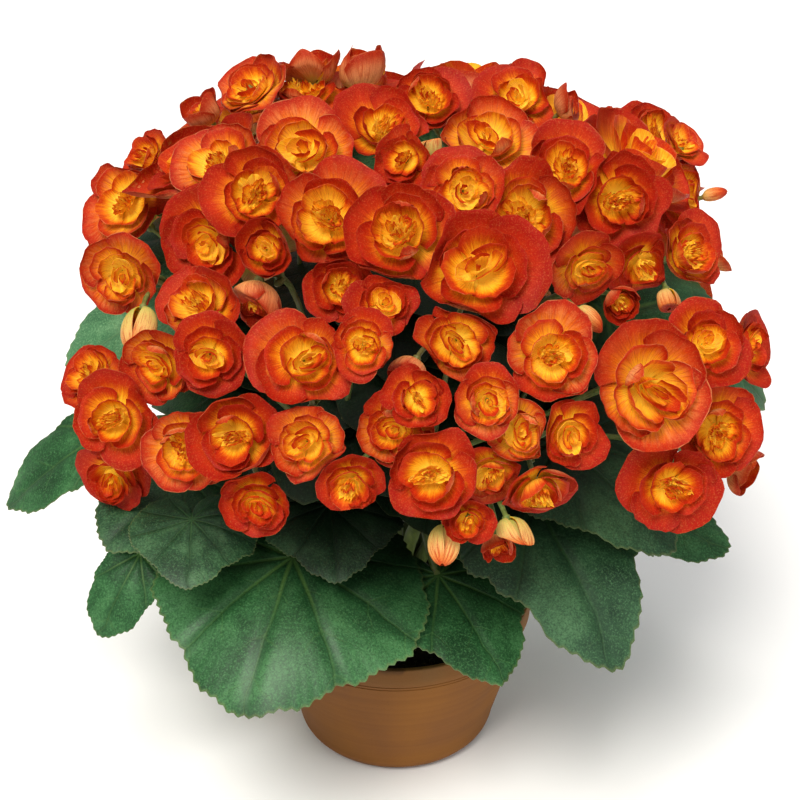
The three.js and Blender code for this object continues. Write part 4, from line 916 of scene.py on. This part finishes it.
def petalsOf(f):
    k, opened, cup = f["index"], f["open"], f["cup"]

    def by(shut, wide):
        return lerp(shut, wide, opened)

    def pathOf(kind):
        wide = np.array(bloom[kind]["wide"])
        return by(np.array(bloom[kind].get("shut", wide)), wide)

    def petal(kind, i, path, **more):
        own = draw(k * 7 + i, 41 + len(kind))
        usual = {
            "path": path, "tone": 0.6 * f["tone"] + 0.4 * own, "phase": 3 * draw(k, 50 + i),
            "waves": 1.5 + 0.5 * draw(k, 60 + i), "tilt": 0.05, "spoon": 0.03, "curl": 0.02}
        return {**usual, **bloom[kind], **more}

    if opened < bloom["budOpenness"]:
        outside, within = bloom["budPaths"]
        for i in range(2):
            yield petal("guards", i, outside, turn=math.pi * i, **bloom["budGuards"], **bloom["bud"])
        yield petal("inner", 5, within, turn=math.pi / 2, **bloom["budInner"], **bloom["bud"])
        return
    for i in range(4):  # two broad and two narrower guard petals
        lift, grow, half = (-0.05, 1.15, 76) if i % 2 == 0 else (0.05, 0.95, 60)
        lift += 0.07 * draw(k, 20 + i) + cup * opened * (0.36 + 0.1 * draw(k, 24 + i))
        grow += 0.12 * draw(k, 30 + i) - 0.06 * cup
        path = pathOf("guards") + cup * opened * np.array([(0, 0), (0.2, 0), (0.2, 0.14), (0, 0)])
        path[3] = path[3] * (grow, 1) + (0, lift)
        yield petal(
            "guards", i, path, turn=0.49 + i * math.pi / 2 + 0.3 * draw(k, 35 + i),
            half=half + 8 * draw(k, 70 + i), tilt=by(0, 0.07), spoon=0.03 + 0.08 * draw(k, 80 + i),
            roll=by(0, 0.06 + 0.06 * draw(k, 85 + i)), notch=0.035 * max(0, draw(k, 90 + i)))
    count, half = (2, 84) if draw(k, 99) > 0 else (3, 68)
    for i in range(count):
        path = pathOf("inner")
        path[3] += (0.1 * draw(k, 100 + i), 0.06 * draw(k, 103 + i))
        yield petal(
            "inner", i, path, turn=1.2 + i * 2 * math.pi / count + 0.4 * draw(k, 96), half=half,
            tilt=by(0, 0.09), spoon=0.06 + 0.08 * draw(k, 106 + i), roll=by(0, 0.08))
    for i in range(2):
        if opened > 0.9 and draw(k, 140 + i) > 0.1:  # a folded petal that shows its pale back
            path = pathOf("fold")
            path[3] += (0.08 * draw(k, 142 + i), 0)
            yield petal("fold", i, path, turn=3 * draw(k, 144 + i), half=40 + 10 * draw(k, 146 + i),
                        tilt=0.12 * draw(k, 148 + i))
    for i in range(3):
        path = pathOf("middle")
        path[3] += (-0.14 * max(0, draw(k, 110 + i)), 0.04 * draw(k, 114 + i))
        yield petal("middle", i, path, turn=0.5 + i * 2 * math.pi / 3 + draw(k, 109),
                    curl=-0.03 + 0.05 * draw(k, 118 + i))
    more = {"heading": 3 * draw(k, 131), "flat": 0.66 + 0.22 * draw(k, 132)}
    kind = "frill" if draw(k, 130) > -0.1 else "swirl"
    small = kind == "frill" and f["radius"] <= bloom[kind]["smallRadius"]
    count = bloom[kind]["smallCount" if small else "count"]
    for i in range(count):
        own, share = k * 31 + i, i / (count - 1)
        more["tone"] = draw(own, 137)
        if kind == "frill":
            out = lerp(0.38, 0.03, share ** 0.75) * by(0.8, 1)
            top = by(0.98, 0.5) + 0.1 * share * opened + 0.07 * draw(own, 133) - 0.12 * cup
            path = [(0.03, 0.1), (out * 0.7, 0.2), (out + 0.05, top - 0.1),
                    (out + 0.03 + 0.11 * draw(own, 134), top)]
            yield petal(kind, i, path, turn=i * 2.4, half=34 + 12 * draw(own, 135),
                        phase=3 * draw(own, 136), tilt=0.05 * draw(own, 139), **more)
        else:
            out = lerp(0.42, 0.05, share) * by(0.8, 1)
            top = by(1, 0.56) + 0.05 * share + 0.02 * draw(own, 133)
            path = [(0.03, 0.1), (out, 0.16), (out, top - 0.2), (out * 1.14 + 0.02, top)]
            yield petal(kind, i, path, turn=i * 2.6, curl=0.03 * draw(own, 134), **more)


# Stems, from the crown to the forks, and on to the flowers and leaves

crown = {"radius": 12, "start": 50, "top": 87, "girth": (0.6, 0.9, 1, 0.97, 1, 1, 0.98, 0.9, 0.62)}
shoots = {
    "count": 9, "ring": 7, "start": 84, "radius": 4.2, "taper": 0.6, "forkRadius": 58, "forkHeight": 217,
    "middleLift": 50, "radiusJitter": 6, "heightJitter": 10, "turn": 0.3, "knuckle": 4.4,
    "petioleStart": 0.6, "swell": 0.16, "swellAt": (0.42, 0.75),
}
stalk = {
    "cyme": 1.5, "arm": 1.35, "knuckle": 2.6, "petiole": 2.2, "foot": 2.5, "footRadius": 2.1,
    "cymeDepth": 30, "clearGap": 0.35, "armStart": 3,
}


def makeForks():
    forks = []
    for k in range(shoots["count"]):
        if k == 0:
            top = shoots["forkHeight"] + shoots["middleLift"]
            forks.append((vec(0, 0, shoots["start"]), vec(0, 0, top)))
            continue
        turn = 2 * math.pi * k / (shoots["count"] - 1) + shoots["turn"]
        out = vec(math.cos(turn), math.sin(turn), 0)
        reach = shoots["forkRadius"] + shoots["radiusJitter"] * draw(k, 11)
        height = shoots["forkHeight"] + shoots["heightJitter"] * draw(k, 13)
        forks.append((out * shoots["ring"] + vec(0, 0, shoots["start"]), out * reach + vec(0, 0, height)))
    return forks


forks = makeForks()


def shootCurve(foot, top):
    lift = top[2] - foot[2]
    low = lerp(foot, top, 0.12) + vec(0, 0, lift * 0.3)
    return [foot, low, top - vec(0, 0, lift * 0.25), top]


def cymeStalk(cyme):
    middle = sum(f["place"] for f in cyme) / len(cyme)
    top = min((top for foot, top in forks), key=lambda t: math.hypot(*(t - middle)[:2]))
    back = unit(sum(f["facing"] for f in cyme))
    towards = unit(middle - top)
    alone = len(cyme) == 1
    along = cyme[0]["facing"] if alone else unit(towards + back)
    end = middle - along * (stalk["foot"] + stalk["clearGap"] if alone else stalk["cymeDepth"])
    return {"start": top, "end": end, "along": along}


def forkPlace(item):
    return item["end"] + item["along"] * (stalk["clearGap"] + stalk["armStart"])


def armCurve(f, item):
    start = forkPlace(item)
    stop = press(f["place"] - f["facing"] * stalk["foot"], f["planes"])
    span = np.linalg.norm(stop - start)
    return [start, lerp(start, stop, 0.3), stop - f["facing"] * span * 0.35, stop]


stalks = [cymeStalk(cyme) for cyme in cymes]


# Leaves: the blade's outline about the petiole's joint, and how it bends

leafForm = {
    "smallerHalf": 0.93, "tipShare": 0.3, "tipAngle": 0.38, "basal": 0.45, "notch": 0.7,
    "notchAngle": 0.22, "lobes": 0.05, "lobesPerRadian": 5.2, "teeth": 17, "tooth": 0.075,
    "coarse": (0.17, 0.85), "smallTooth": 0.023, "ragged": 0.012, "hang": 0.16, "wave": 0.022,
    "stiffBase": 0.3, "puff": 0.014, "frill": 0.008, "thick": 1.1, "grid": (408, 17),
}
leaves = [  # node, joint, heading, dip, roll, length, width share, droop, tip, finish
    ("leaf_front_left_large", (-53, -70, 160), -106, 14, -4, 86, 1.74, 32, 0.1, "middle"),
    ("leaf_front_right_small", (22, -62, 145), -58, 14, 4, 67, 1.4, 24, 0.6, "middle"),
    ("leaf_front_right_large", (68, -60, 195), -59, 24, 6, 99, 1.16, 28, 0.9, "dark"),
    ("leaf_front_dark", (-34, -62, 189), -84, 14, 4, 43, 1.75, 26, 0.2, "dark"),
    ("leaf_left_low", (-103, -76, 189), -88, 9, -4, 40, 1.7, 24, 0.3, "dark"),
    ("leaf_left_front", (-107, -30, 186), -134, 3, -8, 60, 1.75, 26, 0.4, "dark"),
    ("leaf_left_curled", (-133, -54, 152), -130, 40, -20, 48, 0.68, 28, 0.6, "middle"),
    ("leaf_left_far", (-150, -5, 199), -171, 26, -18, 76, 0.66, 26, 1, "middle"),
    ("leaf_left_high", (-108, 46, 248), -172, 14, -14, 82, 1.25, 30, 0.6, "light"),
    ("leaf_left_side", (-84, 22, 152), 168, 22, 0, 80, 1.3, 34, 0.5, "middle"),
    ("leaf_right_dark", (82, -46, 218), -40, 14, 8, 80, 1.3, 28, 0.6, "dark"),
    ("leaf_right_small", (112, -42, 175), -12, 10, 14, 66, 0.72, 18, 0.9, "middle"),
    ("leaf_right_high", (113, 38, 241), -6, 10, 18, 107, 1.25, 46, 0.6, "middle"),
    ("leaf_right_side", (88, 18, 152), 8, 24, 0, 82, 1.3, 34, 0.5, "middle"),
    ("leaf_top", (18, 84, 322), 86, -8, 0, 64, 1.5, 24, 0.5, "dark"),
    ("leaf_back_right", (80, 82, 186), 44, 16, 0, 100, 1.4, 36, 0.5, "dark"),
    ("leaf_back_middle", (14, 92, 160), 86, 18, 0, 92, 1.5, 34, 0.4, "middle"),
    ("leaf_back_left", (-62, 84, 180), 132, 16, 0, 102, 1.4, 36, 0.5, "dark"),
    ("leaf_left_top", (-96, 56, 282), 166, 8, -14, 58, 1.1, 20, 0.5, "dark"),
]
leafLooks = {"dark": leafDark, "middle": leafMiddle, "light": leafLight}


def leafOf(*values):
    leaf = dict(zip(("joint", "heading", "dip", "roll", "length", "wide", "droop", "tip"), values))
    heading, dip, roll = (math.radians(leaf[key]) for key in ("heading", "dip", "roll"))
    level = vec(math.cos(heading), math.sin(heading), 0)
    along = level * math.cos(dip) - vec(0, 0, math.sin(dip))
    side = turned(vec(-math.sin(heading), math.cos(heading), 0), along, roll)
    leaf.update(joint=vec(*leaf["joint"]), along=along, side=side, up=unit(np.cross(along, side)))
    return leaf


def leafOutline(leaf, angle):
    a = np.abs(angle)
    half = leaf["wide"] / 2 * np.where(angle > 0, 1, leafForm["smallerHalf"])
    drawnOut = leafForm["tipShare"] * leaf["tip"]
    blade = lerp(1 - drawnOut, half, smoothstep(a, 0.1, 1.35))
    tip = drawnOut * np.exp(-((a / leafForm["tipAngle"]) ** 2))
    back = 1 - leafForm["basal"] * smoothstep(a, 1.5, 3)
    notch = 1 - leafForm["notch"] * np.exp(-(((math.pi - a) / leafForm["notchAngle"]) ** 2))
    lobes = 1 + leafForm["lobes"] * np.cos(leafForm["lobesPerRadian"] * a)
    return leaf["length"] * (blade * back * notch * lobes + tip)


def leafEdge(leaf, angle, index):  # the outline with its teeth, as shares of itself
    place = (angle + math.pi) / math.pi * leafForm["teeth"] / 2
    tooth = 1 - np.abs(2 * ((place + 0.04 * np.sin(9 * angle + index)) % 1) - 1)
    small = 1 - np.abs(2 * ((place * 5 + 0.5 + 0.3 * np.sin(5 * angle)) % 1) - 1)
    ragged = leafForm["ragged"] * np.sin(23 * angle + 3 * index) * np.sin(7 * angle + index)
    coarse = lerp(*leafForm["coarse"], leaf["tip"]) * leafForm["tooth"]
    return 1 - coarse * (1 - tooth) - leafForm["smallTooth"] * (1 - small) + ragged


def leafPoints(leaf, x, y, lift=0):  # a point of the blade bends down along the midrib
    length = leaf["length"]
    bend = math.radians(leaf["droop"]) / length
    turn = bend * np.maximum(x, -leafForm["stiffBase"] * length)
    forward = np.where(x > 0, np.sin(turn) / bend, x)
    drop = (1 - np.cos(turn)) / bend
    hang = leafForm["hang"] * y * y / length
    wave = leafForm["wave"] * length * np.sin(5 * y / length + leaf["heading"])
    high = (-drop - hang + wave + lift)[..., None]
    forward, aside = forward[..., None] * leaf["along"], y[..., None] * leaf["side"]
    return leaf["joint"] + forward + aside + high * leaf["up"]


def addLeaf(growth, leaf, index, looks, columns, rows):
    length = leaf["length"]
    angle = np.linspace(-math.pi, math.pi, columns, endpoint=False)
    reach = leafOutline(leaf, angle) * leafEdge(leaf, angle, index)
    share = (1 - (1 - np.linspace(0.03, 1, rows)) ** 1.25)[:, None]
    x, y = share * reach * np.cos(angle), share * reach * np.sin(angle)
    sector = math.radians(leafVeins["between"])
    away = np.abs(((angle / sector + 0.5) % 1) - 0.5) * sector  # from the nearest main vein
    hollow = np.exp(-(np.sin(away) * np.hypot(x, y) / (0.045 * length)) ** 2)
    puff = leafForm["puff"] * length * (1 - hollow) * (1 - share ** 6)
    frill = leafForm["frill"] * length * share ** 5 * np.sin(11 * angle + 2 * index) * np.sin(4 * angle + 1)
    grid = leafPoints(leaf, x, y, puff + frill)
    normal = -gridNormals(grid, wraps=True)
    if np.sum(normal @ leaf["up"]) < 0:
        normal = -normal
    half = normal * (leafForm["thick"] / 2 * (1 - 0.45 * share[..., None]))
    centre = leafPoints(leaf, np.zeros(1), np.zeros(1))
    up = leaf["up"] * leafForm["thick"] / 2
    points = [(grid + half).reshape(-1, 3), (grid - half).reshape(-1, 3), centre + up, centre - up]
    size, ring = rows * columns, np.arange(columns)
    after, outside = np.roll(ring, -1), ring + size - columns
    beyond = after + size - columns
    parts = [(gridFaces(rows, columns, wraps=True), looks[0]),
             (np.stack([ring, after, np.full(columns, 2 * size)], -1), looks[0]),
             (gridFaces(rows, columns, size, wraps=True)[:, ::-1], looks[1]),
             (np.stack([after + size, ring + size, np.full(columns, 2 * size + 1)], -1), looks[1]),
             (np.stack([outside, outside + size, beyond + size, beyond], -1), looks[0])]
    values = {"flatX": x / length, "flatY": y / length, "along": np.broadcast_to(share, x.shape)}
    values = {key: np.append(np.tile(v.reshape(-1), 2), [0, 0]) for key, v in values.items()}
    growth.add(np.concatenate(points), parts, tone=draw(index, 7), **values)


def makeLeaves():
    for index, (node, *form, look) in enumerate(leaves):
        growth = Growth()
        addLeaf(growth, leafOf(*form), index, (0, 1), *leafForm["grid"])
        growth.piece("blade" + node[4:].title().replace("_", ""), [leafLooks[look], leafUnder],
                     node, 50)


makeLeaves()
print(len(leaves), "leaves are cut")


# The stems piece: crown, shoots, stalks, petioles and the whorl of leaves on the middle shoot

whorl = {"count": 4, "ring": 14, "height": 198, "step": 8, "start": 30, "draws": 40, "grid": (204, 10),
         "form": (66, 1.3, 30, 0.5), "fall": 2, "girth": (1.6, 1.28), "sides": 8}
innerLeaves = {  # the plant's inside is full of leaves: number, ring, height, length, start, span
    "whorls": [(7, 40, 200, 66, 12, 360), (7, 36, 232, 66, 12, 360), (6, 28, 262, 60, 12, 360),
               (5, 16, 290, 50, 12, 360), (6, 80, 206, 62, 15, 180), (5, 62, 178, 66, 25, 160),
               (6, 62, 250, 58, 12, 180), (7, 44, 266, 60, 20, 165), (3, 42, 268, 64, 108, 42),
               (4, 72, 226, 60, 20, 160)],
    "jitter": 6, "draws": 60, "grid": (68, 8), "form": (1.35, 34, 0.5), "fall": 0.8, "girth": (1.3, 1.3),
    "sides": 7,
}


def knuckle(growth, centre, radius, look, stretch=1.25):  # the swollen node where a stem forks
    share = np.linspace(-1, 1, 7)
    path = centre + share[:, None] * vec(0, 0, radius * stretch)
    addTube(growth, path, radius * np.sqrt(np.maximum(1 - share ** 2, 0.02)), look, 10)


def addShoots(growth):
    share = np.linspace(0, 1, len(crown["girth"]))
    path = np.stack([0 * share, 0 * share, lerp(crown["start"], crown["top"], share)], -1)
    addTube(growth, path, crown["radius"] * np.array(crown["girth"]), 0, 16)
    t = np.linspace(0, 1, 15)
    swell = 1 + sum(shoots["swell"] * np.exp(-((t - at) / 0.035) ** 2) for at in shoots["swellAt"])
    girth = lerp(shoots["radius"], shoots["radius"] * shoots["taper"], t) * swell
    for foot, top in forks:
        addTube(growth, bezier(shootCurve(foot, top), t), girth, 0, 10, along=0.3)
        knuckle(growth, top, shoots["knuckle"], 0)


def addStalks(growth, t):
    for item in stalks:
        start, end, along = item["start"], item["end"], item["along"]
        span = np.linalg.norm(end - start)
        line = bezier([start, lerp(start, end, 0.33), end - along * span * 0.4, end], t)
        addTube(growth, line, lerp(stalk["cyme"] * 0.9, stalk["cyme"], t), 0, 8, along=0.6)


def addPetioles(growth, t):
    lows = [bezier(shootCurve(*fork), [shoots["petioleStart"]])[0] for fork in forks]
    for node, *form, look in leaves:
        leaf = leafOf(*form)
        low = min(lows, key=lambda p: np.linalg.norm(p - leaf["joint"]))
        up = leaf["up"]
        end = leaf["joint"] - up * 0.6 - leaf["along"]
        span = np.linalg.norm(end - low)
        line = bezier([low, lerp(low, end, 0.2) + vec(0, 0, span * 0.1), end - up * span * 0.25, end], t)
        addTube(growth, line, lerp(stalk["petiole"], stalk["petiole"] * 0.8, t), 0, 9, along=0.4)


def addInnerLeaf(growth, kind, index, ring, z, heading, form, t):
    turn = math.radians(heading)
    leaf = leafOf((ring * math.cos(turn), ring * math.sin(turn), z), heading, *form)
    addLeaf(growth, leaf, index, (1, 2), *kind["grid"])
    line = lerp(vec(0, 0, z - kind["fall"] * ring), leaf["joint"], t[:, None])
    addTube(growth, line, lerp(*kind["girth"], t), 0, kind["sides"])


def makeStems():
    growth = Growth()
    t = np.linspace(0, 1, 9)
    addShoots(growth)
    addStalks(growth, t)
    addPetioles(growth, t)
    for k in range(whorl["count"]):
        index = whorl["draws"] + k
        heading = whorl["start"] + 360 * k / whorl["count"] + 6 * draw(index, 1)
        form, z = (10 + 5 * draw(index, 3), 0, *whorl["form"]), whorl["height"] + whorl["step"] * k
        addInnerLeaf(growth, whorl, index, whorl["ring"], z, heading, form, t)
    index = innerLeaves["draws"]
    for count, ring, height, length, first, span in innerLeaves["whorls"]:
        for k in range(count):
            heading = first + span * (k + 0.5 * (index % 2)) / count + 14 * draw(index, 1)
            form = (4 + 10 * draw(index, 3), 10 * draw(index, 4), length * (1 + 0.12 * draw(index, 5)),
                    *innerLeaves["form"])
            z = height + innerLeaves["jitter"] * draw(index, 2)
            addInnerLeaf(growth, innerLeaves, index, ring, z, heading, form, t)
            index += 1
    growth.piece("branchingStems", [stemGreen, leafDark, leafUnder], "stems", 60)


makeStems()
print("stems and the inner leaves are grown")


# The cymes: each with its fork, arms, bracts, blooms and buds

bract = {"length": 11, "half": 40, "thick": 0.6}


def addBracts(growth, item, index):
    along = item["along"]
    across = unit(np.cross(along, vec(0.3, 0.2, 1)))
    base = item["end"] + along * 3.4
    for i in range(2):
        turn = math.pi * i + 2 * draw(index, 200)
        out = turned(across, along, turn)
        other = np.cross(along, out)
        u = np.linspace(-1, 1, 7)[None, :]
        v = np.linspace(0.05, 1, 6)[:, None]
        s = v * (1 - 0.5 * np.abs(u) ** 2)
        length = bract["length"] * (1 + 0.2 * draw(index, 201 + i))
        angle = math.radians(bract["half"]) * u
        reach = 1.5 + length * s * 0.55
        outward = np.cos(angle)[..., None] * out + np.sin(angle)[..., None] * other
        grid = base + reach[..., None] * outward + (length * s ** 1.3 * 0.8)[..., None] * along
        addSheet(growth, grid, bract["thick"], (2, 2), along=0.5)


def addStalkOf(growth, f, item):  # the flower's own stalk, or its foot where it stands alone
    facing, radius = f["facing"], f["radius"]
    foot = press(f["place"] - facing * stalk["foot"], f["planes"])
    seat = foot + facing * (stalk["foot"] + 0.1 * radius)
    t = np.linspace(0, 1, 9)
    if item:
        line, girth = bezier(armCurve(f, item), t), lerp(stalk["arm"], stalk["arm"] * 0.9, t)
    else:
        line, girth = lerp(foot - facing * 0.3, foot, t[:2, None]), np.full(2, stalk["arm"])
    wide = stalk["footRadius"]
    cup = [foot + facing * 0.8, foot + facing * stalk["foot"], seat]
    radii = [wide, min(wide * 1.25, 0.14 * radius), 0.05 * radius]
    addTube(growth, np.concatenate([line, cup]), np.concatenate([girth, radii]), 2, 9, f["across"], along=1)


def makeCyme(number, cyme, item):
    growth = Growth()
    forked = len(cyme) > 1
    for f in cyme:
        for petal in petalsOf(f):
            addPetal(growth, f, petal)
        addStalkOf(growth, f, item if forked else None)
    if forked:
        knuckle(growth, forkPlace(item), stalk["knuckle"], 2, 1.1)
        addBracts(growth, item, number)
    growth.piece(f"cyme{number + 1:02d}Blooms", [petalFront, petalBack, stemGreen],
                 f"cyme_{number + 1:02d}", 50)
    return len(growth.faces)


total = sum(makeCyme(i, cyme, stalks[i]) for i, cyme in enumerate(cymes))
print("cymes are in bloom:", total, "faces")
